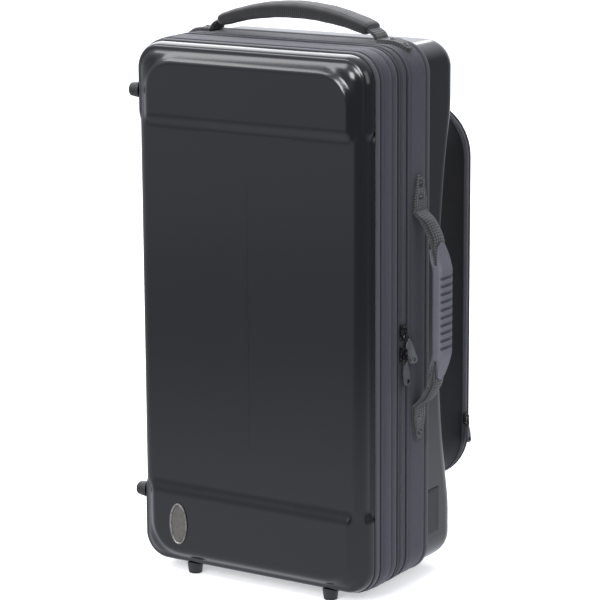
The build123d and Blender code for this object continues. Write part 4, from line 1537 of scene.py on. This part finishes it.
@dataclass
class WebbingTabs(SubAssembly):
    """Riveted tongues of webbing that carry both handles."""

    half: float = STRAP_HALF
    thick: float = 3.9
    lift: float = 0.1
    tip: float = 8.5
    taper_start: float = 12.0
    side_length: float = 39.3
    top_length: float = 36.0
    side_bend: float = 108.4
    corner_radius: float = 33.5
    corner_middle: Pair = (118.7, 559.5)
    corner_flat: float = 11.3
    rivets: Pair = (9.0, 24.5)
    rivet_outline: Profile = ((0.0, 5.6), (0.9, 5.55), (1.7, 5.2), (2.1, 4.6), (2.3, 4.1),
                              (3.0, 4.15), (3.7, 4.35), (4.1, 4.2), (4.35, 3.7), (4.35, 3.2),
                              (1.5, 3.1), (1.5, -2.9), (0.0, -2.9))

    def outline(self, along: float, length: float) -> float:
        """Half width of a tongue at a distance from its bend.

        Args:
            along: Distance from the bend.
            length: Length of the tongue.

        Returns:
            Half its width in millimetres.
        """
        if along <= self.taper_start:
            return self.half
        middle = length - self.tip
        slope = (self.half - self.tip) / (middle - self.taper_start)
        if along <= middle:
            return self.half - slope * (along - self.taper_start)
        return math.sqrt(max(self.tip ** 2 - (along - middle) ** 2, 0.0)) if along < length else 0.0

    def tongue(self, name: str, stations: Sequence[Station], length: float, node: str) -> None:
        """Build one tongue from stations that run from its bend to its tip.

        Args:
            name: Name of the piece.
            stations: Path on the band's face, out away from the case.
            length: Length of the tongue.
            node: Node that it stands for.
        """
        def profile(station: Station) -> Profile:
            """Flat section, pressed in under the rivets and thinner at the rounded tip."""
            half = max(self.outline(station.run, length), 0.6)
            press = sum(0.35 * math.exp(-((station.run - (length - run)) / 4.0) ** 2)
                        for run in self.rivets)
            high = self.lift + self.thick - (0.5 if station.run > length - 1.5 else 0.0)
            ring = strap_profile(half, self.lift, high)
            return [(a, o - press * math.exp(-(a / 5.0) ** 2) if o > 1.5 else o) for a, o in ring]

        self.keep(strip(name, WEBBING, stations, profile), "webbing", "base", [node])
        hem = []
        for side in (-1, 1):
            line = []
            for s in stations:
                half = self.outline(s.run, length) - 2.2
                if half > 1.0 and s.run > 2.0:
                    line.append((s.point(side * half, self.lift + self.thick + 0.02), s.out,
                                 s.across.cross(s.out)))
            hem.append(line)
        self.keep(stitch_rows(name + " stitches", hem, 3.0, 2.2, 0.6), "webbing", "base")

    def side_stations(self, side: int) -> list[Station]:
        """Stations up or down the side band from a bend."""
        bend = HANDLE_Z + side * self.side_bend
        tip = self.side_length
        runs = [i * 1.5 for i in range(26)] + [tip - 0.9, tip - 0.4, tip]
        return [Station(Vector((SIDE_X, HANDLE_Y, bend + side * r)), BACK * side, RIGHT, r)
                for r in sorted(set(runs))]

    def top_stations(self, side: int) -> list[Station]:
        """Stations over the top band's corner from a bend."""
        radius, flat, tip = self.corner_radius, self.corner_flat, self.top_length
        centre, level = self.corner_middle
        made = []
        for run in [i * 1.5 for i in range(24)] + [tip - 0.8, tip - 0.3, tip]:
            angle = max(0.0, run - flat) / radius
            out = Vector((side * math.sin(angle), 0, math.cos(angle)))
            spot = Vector((side * (centre - max(0.0, flat - run)), HANDLE_Y, level)) + out * radius
            made.append(Station(spot, Vector((0, -side, 0)), out, run))
        return made

    def build(self) -> None:
        """Four tongues and their eight rivets."""
        spots = []
        for where, side, word in (("side", 1, "upper"), ("side", -1, "lower"),
                                  ("top", 1, "right"), ("top", -1, "left")):
            length = self.side_length if where == "side" else self.top_length
            walk = self.side_stations if where == "side" else self.top_stations
            stations = walk(side)
            self.tongue(f"{where.title()} {word} tongue", stations, length,
                        f"{where}_handle_{word}_tab")
            for run in self.rivets:
                near = min(stations, key=lambda s, r=length - run: abs(s.run - r))
                spots.append((near.point(0.0, 0.0), near.out, near.across))
        unit = turned_unit(self.rivet_outline, 24)
        rivets = Row("Ring rivets", Repeat.SPOTS, RIVET).bake(unit, [spots])
        self.keep(rivets, "rivet_metal", "base", ["handle_rivets"])


@dataclass
class SideHandle(SubAssembly):
    """Carrying handle: two legs of webbing and a moulded, grooved grip."""

    half_wide: float = STRAP_HALF
    thick: float = 3.4
    fold: float = 1.6
    swell: float = 3.6
    bow: Profile = ((1.5, 108.0), (5.5, 105.4), (13.8, 97.0), (18.9, 88.6), (24.2, 76.6),
                    (30.2, 47.0), (31.1, 18.0))

    def path(self) -> list[Vector]:
        """Middle line of the webbing from the upper bend round to the lower one."""
        bow = list(self.bow) + [(x, -z) for x, z in reversed(self.bow)]
        return [Vector((SIDE_X + x, HANDLE_Y, HANDLE_Z + z)) for x, z in bow]

    def build(self) -> None:
        """Webbing that bends with the handle, and the grip's rubber."""
        stations = strap_stations(self.path(), -BACK)
        long = stations[-1].run

        def profile(station: Station) -> Profile:
            """Flat at the tongues and under the grip, folded to a fat roll between them."""
            way = min(station.run, long - station.run)
            fat = smooth_step(way, 6.0, 18.0) * (1.0 - smooth_step(way, 36.0, 46.0))
            half_wide = self.half_wide - self.fold * fat
            ring = []
            for a, o in strap_profile(half_wide, -self.thick / 2, self.thick / 2):
                bulge = self.swell * fat * math.sqrt(max(1.0 - (a / half_wide) ** 2, 0.0))
                ring.append((a, o + math.copysign(bulge, o) if o else 0.0))
            return ring

        piece = strip("Side carrying strap", WEBBING, stations, profile)
        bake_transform(piece, "base", "side_handle", start=tuple(place(SIDE_X + 0.5, HANDLE_Y, HANDLE_Z)),
                 end=tuple(place(SIDE_X + 16.5, HANDLE_Y, HANDLE_Z)))
        self.keep(piece, "webbing", None, ["side_handle_webbing"])
        self.dress(GRIP, "side_handle_grip")


@dataclass
class TopHandle(SubAssembly):
    """Carrying strap on the top: a padded waffle sleeve that curls down to the tabs."""

    half: float = 96.6
    crown: float = 622.4
    drop: float = 16.6
    half_wide: float = 17.2
    half_thick: float = 9.1
    thinner: float = 2.3
    blunt_length: float = 6.5
    leg: Profile = ((84.0, 609.8), (95.0, 606.1), (101.2, 603.4), (104.8, 600.2), (106.8, 595.9))

    def core(self, x: float) -> float:
        """Height of the sleeve's middle line at a distance from the case's middle."""
        radius = (self.half ** 2 + self.drop ** 2) / (2 * self.drop)
        return self.crown - (radius - math.sqrt(radius ** 2 - x ** 2))

    def build(self) -> None:
        """Padded sleeve, and the webbing legs at its ends that bend with the handle."""
        count = 96
        stations = []
        for x in [self.half * -math.cos(math.pi * i / count) for i in range(count + 1)]:
            low, high = max(x - 0.5, -self.half), min(x + 0.5, self.half)
            slope = Vector((high - low, 0.0, self.core(high) - self.core(low))).normalized()
            out = BACK.cross(slope) * -1.0
            stations.append(Station(Vector((x, HANDLE_Y, self.core(x))), BACK, out,
                                    x + self.half))

        def profile(station: Station) -> Profile:
            """Thick in the middle, thinner towards its blunt, rounded ends."""
            x = abs(station.run - self.half)
            blunt = max(0.0, x - (self.half - self.blunt_length)) / self.blunt_length
            end = math.sqrt(max(0.0, 1.0 - blunt ** 2.4)) ** 0.8
            wave = 0.12 * math.sin(station.run / 7.0) + 0.1 * math.sin(station.run / 3.1 + 1.0)
            half_wide = (self.half_wide - 0.4 * (x / self.half) ** 2 + wave) * (0.62 + 0.38 * end)
            half_thick = self.half_thick - self.thinner * (x / self.half) ** 2 + wave
            half_thick *= max(end, 0.04)
            ring = []
            for i in range(32):
                angle = math.tau * i / 32
                c, s = math.cos(angle), math.sin(angle)
                ring.append((half_wide * math.copysign(abs(c) ** 0.6, c),
                             half_thick * math.copysign(abs(s) ** 0.72, s)))
            return ring

        sleeve = strip("Top padded sleeve", WAFFLE, stations, profile)
        self.keep(sleeve, "sleeve_webbing", "top_handle", ["top_handle_sleeve"])
        legs = Surface()
        for side in (-1, 1):
            line = [Vector((side * x, HANDLE_Y, z)) for x, z in self.leg]
            legs.sweep(strap_stations(line, BACK), strap_profile(STRAP_HALF, -1.6, 1.6))
        webbing = legs.build("Top carrying strap", WEBBING)
        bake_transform(webbing, "base", "top_handle", start=tuple(place(0, HANDLE_Y, 595.5)),
                 end=tuple(place(0, HANDLE_Y, 602.5)))
        self.keep(webbing, "webbing", None, ["top_handle_webbing"])


@dataclass
class Badge(SubAssembly):
    """Bare oval badge on the lid's lower pillow."""

    middle: Pair = (-93.5, 49.5)
    half_wide: float = 11.65
    half_tall: float = 23.85
    steps: Profile = ((0.0, 0.0), (0.0, 1.2), (0.35, 1.8), (0.9, 2.0), (1.5, 1.75), (1.9, 1.15),
                      (2.3, 0.8), (3.2, 0.8), (3.7, 1.05), (4.2, 0.8), (6.5, 0.95), (9.0, 1.1))
    rim_end: int = 6

    def build(self) -> None:
        """Rim, sunk field and a raised line, as an oval rim piece and a field piece with its own middle
        raised.
        """
        rows = []
        for inset, out in self.steps:
            ring = []
            for i in range(48):
                angle = math.tau * i / 48
                ring.append(place(self.middle[0] + (self.half_wide - inset) * math.cos(angle),
                                  LID_FRONT - out,
                                  self.middle[1] + (self.half_tall - inset) * math.sin(angle)))
            rows.append(ring)
        bottom = [Vector((p.x, LID_FRONT * MM + CASE_ORIGIN.y * MM, p.z))
                  for p in rows[self.rim_end]]
        rim = skin("Badge rim", SILVER, rows[:self.rim_end + 1] + [bottom], 1.0, True)
        self.keep(rim, "badge_silver", "lid", ["badge_rim"])
        plate = skin("Oval badge field", FIELD, [bottom] + rows[self.rim_end:], 1.0)
        self.keep(plate, "badge_silver", "lid", ["badge_plate"])


@dataclass
class SideLabel(SubAssembly):
    """Bare woven label sewn to the base's right side."""

    corner: Pair = (59.5, 39.0)
    size: Pair = (27.5, 51.0)
    hem: Profile = ((61.6, 41.1), (84.9, 41.1), (84.9, 87.9), (61.6, 87.9), (61.6, 41.1))
    columns: int = 12

    def build(self) -> None:
        """Thin cloth with a stitched hem and slightly lifted corners."""
        (y, z), (wide, tall) = self.corner, self.size
        rows = []
        for layer in (0, 1):
            for i in range(13):
                v = i / 12 if layer == 0 else 1 - i / 12
                row = []
                for j in range(self.columns + 1):
                    u = j / self.columns
                    edge = max(abs(u - 0.5), abs(v - 0.5)) * 2
                    lift = 0.25 * edge ** 6 + 0.08 * math.sin(5 * u + 3 * v)
                    out = 0.75 + lift if layer == 0 else 0.12
                    row.append(place(CASE.width / 2 + out, y + wide * u, z + tall * v))
                rows.append(row)
        label = skin("Woven label", LABEL, rows, 4.0, True, False)
        seal(label.data, 1e-7)
        self.keep(label, "label_fabric", "base", ["side_label"])
        lines = []
        for (ya, za), (yb, zb) in zip(self.hem, self.hem[1:]):
            way = Vector((0, yb - ya, zb - za)).normalized()
            lines.append([(place(150.15, ya, za), RIGHT, way), (place(150.15, yb, zb), RIGHT, way)])
        self.keep(stitch_rows("Side label stitches", lines, 2.4, 1.7, 0.4), "label_fabric", "base")


@dataclass
class MusicPocket(SubAssembly):
    """Flat pocket on the waisted back: gusset, padded cover, zip, piping and hinge."""

    zip_y: float = 164.5
    tooth_pitch: float = 1.6
    cover_y: float = 170.0
    hinge_ends: Pair = (150.0, 430.0)
    hinge_section: Profile = ((-5.0, -1.3), (-4.9, -0.4), (-2.0, 0.0), (2.0, 0.0), (4.9, -0.4),
                              (5.0, -1.3))
    crown: Profile = ((0.0, 0.6), (0.2, 3.4), (0.8, 5.2), (2.2, 6.0), (5.0, 6.3), (9.0, 6.0),
                      (10.5, 5.4), (12.0, 6.0), (18.0, 7.0), (30.0, 7.9), (50.0, 8.5),
                      (75.0, 8.8), (100.0, 9.0), (125.0, 9.0), (133.0, 9.0))
    back_depth: float = 127.5
    waist_radius: float = 993.7
    waist_middle: Pair = (1096.2, 290.2)
    back_flat: float = 125.2
    back_radius: float = 24.0

    def back_face(self, x: float, z: float) -> float:
        """Depth of the base's waisted rear face behind the zip's middle.

        Args:
            x: Place across the case.
            z: Height over its underside.

        Returns:
            The depth in case millimetres.
        """
        reach = self.waist_radius ** 2 - (z - self.waist_middle[1]) ** 2
        face = min(self.back_depth, self.waist_middle[0] - math.sqrt(max(reach, 0.0)))
        over = abs(x) - self.back_flat
        if over > 0:
            radius = self.back_radius
            face -= radius - math.sqrt(max(radius ** 2 - over ** 2, 0.0))
        return face

    def gusset(self) -> None:
        """Soft side wall from the moulding to the zip."""
        def profile(station: Station) -> Profile:
            """Slightly hollow wall with a turned-in foot."""
            foot = self.back_face(station.spot.x, station.spot.z) - 1.6
            top = self.zip_y - 5.6
            sag = 0.8 + 0.5 * math.sin(station.run / 47.0) + 0.3 * math.sin(station.run / 19.0)
            outer = [(foot, 0.8), (foot + 1.5, 0.3)]
            for i in range(1, 8):
                t = i / 8
                outer.append((foot + 1.5 + (top - foot - 1.5) * t, -sag * math.sin(math.pi * t)))
            outer += [(top - 1.0, 0.2), (top, -0.4), (top, -2.0)]
            inner = [(top - 8.0, -2.4), ((foot + top) / 2, -2.4 - sag * 0.5), (foot, -1.6)]
            return outer + inner

        wall = strip("Pocket side wall", POCKET, POCKET_EDGE.closed(9.0), profile, True)
        self.keep(wall, "pocket_fabric", "base", ["pocket_gusset"])

    def cover(self) -> None:
        """Padded cover with a crowned face and a sewn border."""
        rows = [POCKET_EDGE.ring(self.cover_y + 0.2, -3.0)]
        rows += [POCKET_EDGE.ring(self.cover_y + rise, -inset) for inset, rise in self.crown]
        cover = skin("Pocket padded cover", POCKET, rows, 10.0)
        self.keep(cover, "pocket_fabric", "pocket_cover", ["pocket_cover"])
        border = POCKET_EDGE.inset(10.5)
        path = border.stations(0.0, border.length(), 9.0)
        line = [(s.point(self.cover_y + 5.7, 0.0), BACK, s.across.cross(s.out)) for s in path]
        self.keep(stitch_rows("Pocket cover stitches", [line]), "pocket_fabric", "pocket_cover")

    def zip(self) -> None:
        """Tapes, coil and piping round the pocket's mouth."""
        start = POCKET_EDGE.middle - self.hinge_ends[0]
        end = POCKET_EDGE.length() - (self.hinge_ends[1] - POCKET_EDGE.middle)
        path = POCKET_EDGE.stations(start, end, 9.0)
        y = self.zip_y
        for word, body, side in (("Gusset", "base", -1), ("Cover", "pocket_cover", 1)):
            flat = [(y + side * 0.4, -1.3), (y + side * 0.4, -0.5), (y + side * 2.6, -0.4),
                    (y + side * 5.3, -0.4), (y + side * 5.3, -1.3)]
            self.keep(strip(f"{word} pocket tape", ZIP_TAPE, path, flat), "zip_coil", body,
                      [f"pocket_{word.lower()}_zip"])
            offset = 0.0 if side < 0 else self.tooth_pitch / 2
            line = [(s.point(y + side * 1.05, 0.1), s.out, s.across)
                    for s in POCKET_EDGE.stations(start + offset, end - 1.0 + offset, 6.0)]
            row = Row(f"{word} pocket coil", Repeat.ALONG, COIL, self.tooth_pitch)
            self.keep(row.bake(bead_unit(3.0, 0.95, 1.1, 4), [line]), "zip_coil", body)
        for name, finish, section, body, nodes in (
                ("Pocket corded edge", EDGE_TAPE, round_profile(self.cover_y + 1.5, -0.5, 1.5, 10),
                 "pocket_cover", ["pocket_piping"]),
                ("Pocket gusset piping", PIPING, round_profile(y - 6.4, -0.3, 1.2, 8),
                 "base", [])):
            self.keep(strip(name, finish, POCKET_EDGE.closed(9.0), section, True),
                      "edge_binding", body, nodes)

    def hinge(self) -> None:
        """Strip of cloth on the pocket's left edge."""
        stations = [Station(Vector((-POCKET_EDGE.width / 2, self.zip_y, 150.6 + i * 8.7)), BACK,
                            LEFT, i * 8.7) for i in range(33)]
        piece = strip("Pocket hinge cloth", POCKET, stations, self.hinge_section)
        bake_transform(piece, "base", "pocket_cover", start=tuple(place(-140.95, self.zip_y - 3, 292)),
                 end=tuple(place(-140.95, self.zip_y + 3, 292)))
        self.keep(piece, "band_nylon", None, ["pocket_hinge"])

    def lining(self) -> None:
        """Thin cloth on the moulding inside the pocket."""
        inner = POCKET_EDGE.inset(3.0)
        rows = [[self.on_back(p, 0.35) for p in inner.ring(0.0, 0.0)]]
        for inset in (0.0, 12.0, 30.0, 50.0, 75.0, 100.0, 128.0):
            rows.append([self.on_back(p, 1.3) for p in inner.ring(0.0, -inset)])
        self.keep(skin("Pocket lining", POCKET, rows, 12.0), "pocket_fabric", "base",
                  ["pocket_back_panel"])

    def on_back(self, point: Vector, off: float) -> Vector:
        """Point moved on to the base's rear face, a little off it."""
        case = point / MM - CASE_ORIGIN
        return place(case.x, self.back_face(case.x, case.z) + off, case.z)

    def build(self) -> None:
        """All of the pocket."""
        self.gusset()
        self.lining()
        self.cover()
        self.zip()
        self.hinge()
        self.dress(SLIDER, "pocket_slider", "pocket_pull_link", "pocket_pull_eyelet")
        self.dress(PULL, "pocket_pull_tab")


@dataclass
class Inside(SubAssembly):
    """Padded inside: tray with three leaning lanes, accessory bay, liner and cushion."""

    wall_gap: float = 3.9
    cushion_outline: Loop = Loop(244.8, 480.4, 20.0, 300.0)
    channel_pitch: float = 60.0
    channel_wide: float = 9.0
    channel_deep: float = 4.2

    def softened(self, name: str, node: str, edge: float, finish: Finish, slot: str) -> None:
        """Replace a foam block of the base with a copy whose edges are rounded over.

        Args:
            name: Name of the piece.
            node: Node of the block.
            edge: How far each edge is rounded, in millimetres.
            finish: Its finish.
            slot: Passed on to `keep`, which does not use it.
        """
        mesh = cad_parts[node].data.copy()
        with editing(mesh) as shape:
            bmesh.ops.remove_doubles(shape, verts=shape.verts, dist=1e-6)
            bmesh.ops.dissolve_limit(shape, angle_limit=math.radians(1.0), verts=shape.verts,
                                     edges=shape.edges)
            sharp = [e for e in shape.edges if len(e.link_faces) == 2
                     and e.calc_face_angle(0.0) > math.radians(40)]
            bmesh.ops.bevel(shape, geom=sharp, offset=edge * MM, segments=4, profile=0.6,
                            affect="EDGES", clamp_overlap=True)
            bmesh.ops.triangulate(shape, faces=[f for f in shape.faces if len(f.verts) > 4])
        mesh.name = name
        piece = finished(name, mesh, finish)
        sharpen(mesh, 50.0)
        self.keep(piece, slot, "base", [node])

    def foam_frame(self, name: str, rings: Sequence[tuple[Loop, float]], node: str,
                   body: str) -> None:
        """Foam that frames the lanes, lofted between outlines and their depths, in order."""
        rows = [loop.ring(y, 0.0, 12, 10) for loop, y in rings]
        self.keep(skin(name, PLUSH, rows, 12.0, True), "plush_lining", body, [node])

    def build(self) -> None:
        """Tray, lanes, bay, liner and cushion."""
        wall, lanes = CASE.inset(self.wall_gap), LANES
        self.foam_frame("Tray frame foam", [
            (wall.inset(3.2), 88.6), (wall.inset(0.6), 78.0), (wall, 66.0), (wall, 20.0),
            (wall.inset(0.2), 4.0), (wall.inset(0.8), 2.4), (wall.inset(2.0), 1.7),
            (lanes.inset(-1.6), 1.8), (lanes.inset(-0.5), 2.8), (lanes, 5.0), (lanes, 50.0),
            (lanes, 88.6)], "tray_surround", "base")
        self.foam_frame("Lid liner rim", [
            (wall.inset(4.4), -57.0), (wall.inset(4.4), -14.4), (wall.inset(0.1), -11.0),
            (wall.inset(0.2), -4.0), (wall.inset(0.8), -2.4), (wall.inset(2.0), -1.7),
            (lanes.inset(-1.6), -1.8), (lanes.inset(-0.5), -2.8), (lanes, -5.0), (lanes, -40.0),
            (lanes.inset(0.3), -55.6), (lanes.inset(3.0), -61.0), (lanes.inset(8.0), -62.3),
            (lanes.inset(8.0), -63.6), (lanes.inset(4.0), -63.6)], "lid_liner", "lid")
        self.pad("Lid liner face", lanes.inset(3.0), (-63.2, -62.2, -61.5), 0.4, "lid", [])
        self.pad("Tray floor pad", lanes.inset(0.4), (91.5, 89.6, 88.9), 1.0, "base",
                 ["tray_floor"])
        self.cushion()
        for name, node in (("Left divider", "divider_left"), ("Right divider", "divider_right"),
                           ("Mouthpiece foam", "mouthpiece_rack")):
            self.softened(name, node, 2.0, PLUSH_PAD, "plush_pad")
        self.softened("Bay wall pad", "accessory_wall", 2.5, PLUSH, "plush_lining")

    def pad(self, name: str, loop: Loop, depths: Triple, crown: float,
            body: str, nodes: Sequence[str]) -> None:
        """Flat pad on the moulding: back, rounded edge and face.

        Args:
            name: Name of the piece.
            loop: Its outline.
            depths: Depth of its back, edge and face in case millimetres.
            crown: How far its middle stands proud.
            body: Body that it rides on.
            nodes: Nodes that it replaces.
        """
        back, edge, face = depths
        way = 1.0 if face > edge else -1.0
        rows = [loop.ring(back), loop.ring(edge), loop.ring(face, -1.0)]
        for inset in (10.0, 30.0, 60.0, 90.0, 120.0, 131.0):
            rows.append(loop.ring(face + way * crown * min(1.0, inset / 60.0), -inset))
        self.keep(skin(name, PLUSH, rows, 12.0), "plush_lining", body, nodes)

    def cushion(self) -> None:
        """Quilted cushion that holds the trumpets down."""
        outline = self.cushion_outline
        rows = [outline.ring(y, grow, 26, 8) for y, grow in
                ((-61.8, -2.0), (-59.6, 0.3), (-53.6, 1.0), (-49.1, -0.5), (-46.4, -4.0))]
        edge_rows = len(rows)
        rows += [outline.ring(-45.0, -8.0 - 5.0 * i, 26, 8) for i in range(23)]
        for point in (spot for ring in rows[edge_rows:] for spot in ring):
            z = (point / MM - CASE_ORIGIN).z
            seam = min(abs((z - outline.middle + self.channel_pitch * k) / self.channel_wide)
                       for k in range(-4, 5))
            point.y -= self.channel_deep * MM * math.exp(-seam ** 2)
        piece = skin("Quilted cushion", PLUSH_PAD, rows, 8.0)
        self.keep(piece, "plush_pad", "lid", ["lid_cushion"])


# ---- studio
@dataclass
class Studio:
    """Pale floor, soft lamps and the camera."""

    camera_spot: Triple = (1.55302, -2.49185, 0.95493)
    camera_target: Triple = (-0.00936, -0.02468, 0.30987)
    roll: float = -0.3226
    lens: float = 160.84
    lamps: tuple = (("Key", (0.3, -3.0, 1.75), (0.05, 0.0, 0.45), (0.9, 1.1), 46.0),
                    ("Wide front softbox", (-1.6, -1.5, 2.7), (0.0, 0.0, 0.4), (2.0, 0.8), 30.0),
                    ("Right softbox", (2.9, -0.4, 1.6), (0.0, 0.0, 0.35), (2.4, 2.2), 32.0),
                    ("Top softbox", (-1.5, 1.7, 2.4), (0.0, 0.0, 0.5), (2.6, 2.0), 58.0))
    floor_half: float = 30.0
    dark_side: Pair = (-0.2, 0.2)
    dark: float = 0.28

    def floor(self) -> None:
        """White floor for the camera; for other rays it glows, lighting the case and showing in its gloss,
        and darkens away from the case on the right.
        """
        mesh = bpy.data.meshes.new("Floor")
        corners = [(x * self.floor_half, y * self.floor_half, 0)
                   for x, y in ((-1, -1), (1, -1), (1, 1), (-1, 1))]
        mesh.from_pydata(corners, [], [(0, 1, 2, 3)])
        floor = linked_object("Floor", mesh)
        made = bpy.data.materials.new("White floor")
        made.use_nodes = True
        tree = made.node_tree
        w = Wiring(tree)
        output = tree.nodes["Material Output"]
        tree.nodes.remove(tree.nodes["Principled BSDF"])
        seen = w.add("BsdfDiffuse")
        seen.inputs["Color"].default_value = (1.0, 1.0, 1.0, 1.0)
        glow = w.add("Emission")
        glow.inputs["Strength"].default_value = 0.42
        both = w.add("AddShader")
        # Glow for all rays but the camera's: a glowing floor that lights the case and is seen in its gloss.
        other = w.add("Emission")
        spot = w.add("TexCoord")
        x, y, _ = w.split(spot.outputs["Object"])
        away = w.math("SQRT", w.plus(w.times(x, x), w.times(y, y)))
        side = w.math("DIVIDE", x, w.plus(away, 0.05))
        bright = w.plus(w.remap(away, 1.6, 2.8, 0.52, 0.8), w.remap(away, 0.3, 1.5, 0.4, 0.0))
        left = w.remap(side, *self.dark_side, 1.0, 0.0)
        far = w.plus(w.times(bright, left), w.times(self.dark, w.math("SUBTRACT", 1.0, left)))
        near = w.remap(away, 0.35, 1.9, 0.92, 0.0)
        w.join(w.math("MAXIMUM", far, near), other.inputs["Strength"])
        other.inputs["Color"].default_value = (0.95, 0.97, 1.06, 1.0)
        mix = w.add("MixShader")
        path = w.add("LightPath")
        for start, end in ((seen.outputs[0], both.inputs[0]), (glow.outputs[0], both.inputs[1]),
                           (path.outputs["Is Camera Ray"], mix.inputs[0]),
                           (other.outputs[0], mix.inputs[1]), (both.outputs[0], mix.inputs[2]),
                           (mix.outputs[0], output.inputs["Surface"])):
            w.join(start, end)
        mesh.materials.append(made)

    def world(self) -> None:
        """White surroundings for the camera; a pale room with a dark right front for the rest."""
        world = bpy.data.worlds.new("Studio")
        bpy.context.scene.world = world
        world.use_nodes = True
        tree = world.node_tree
        w = Wiring(tree)
        back = tree.nodes["Background"]
        coordinates = w.add("TexCoord")
        x, y, z = w.split(coordinates.outputs["Generated"])
        low = w.remap(x, *self.dark_side, 0.6, self.dark)
        low = w.plus(low, w.times(w.remap(y, 0.1, 0.8), w.remap(x, -0.2, 0.4, 0.7, 0.0)))
        rise = w.remap(z, 0.22, 0.6)
        high = w.remap(x, -0.2, 0.8, 1.3, 0.6)
        level = w.plus(w.times(low, w.math("SUBTRACT", 1.0, rise)), w.times(high, rise))
        path = w.add("LightPath")
        level = w.math("MAXIMUM", level, w.times(path.outputs["Is Camera Ray"], 1.06))
        w.join(level, back.inputs["Strength"])
        back.inputs["Color"].default_value = (0.95, 0.97, 1.05, 1.0)

    def lamp(self, name: str, spot: tuple, aim: tuple, size: tuple, power: float) -> None:
        """Soft rectangular lamp that points at a spot.

        Args:
            name: Name of the lamp.
            spot: Its place in metres.
            aim: Point that it faces.
            size: Its width and height in metres.
            power: Its power in watts.
        """
        data = bpy.data.lights.new(name, "AREA")
        data.shape = "RECTANGLE"
        data.size, data.size_y = size
        data.energy = power
        lamp = linked_object(name, data)
        lamp.location = spot
        lamp.rotation_euler = (Vector(aim) - Vector(spot)).to_track_quat("-Z", "Y").to_euler()

    def camera(self) -> None:
        """Camera at its fitted place."""
        data = bpy.data.cameras.new("Camera")
        data.lens = self.lens
        data.sensor_width = 36.0
        data.clip_end = 100.0
        camera = linked_object("Camera", data)
        spot, target = Vector(self.camera_spot), Vector(self.camera_target)
        look = (target - spot).normalized()
        right = look.cross(UP).normalized()
        up = right.cross(look)
        angle = math.radians(self.roll)
        turned_right = right * math.cos(angle) + up * math.sin(angle)
        turned_up = up * math.cos(angle) - right * math.sin(angle)
        basis = Matrix((turned_right, turned_up, -look)).transposed().to_4x4()
        camera.matrix_world = Matrix.Translation(spot) @ basis
        bpy.context.scene.camera = camera

    def build(self) -> None:
        """Floor, surroundings, lamps and camera."""
        self.floor()
        self.world()
        for lamp in self.lamps:
            self.lamp(*lamp)
        self.camera()
        bpy.context.scene.view_settings.view_transform = "Standard"


def main() -> None:
    """Build every sub-assembly in order, then the studio."""
    logging.basicConfig(level=logging.INFO, format="%(name)s %(message)s")
    for part in (Shells(), Bands(), MainZip(), PullTab(), WebbingTabs(), SideHandle(), TopHandle(),
                 Badge(), SideLabel(), MusicPocket(), Inside()):
        part.build()
        log.info("%s: %d pieces", type(part).__name__, len(part.pieces))
    Studio().build()


if __name__ == "__main__":
    main()
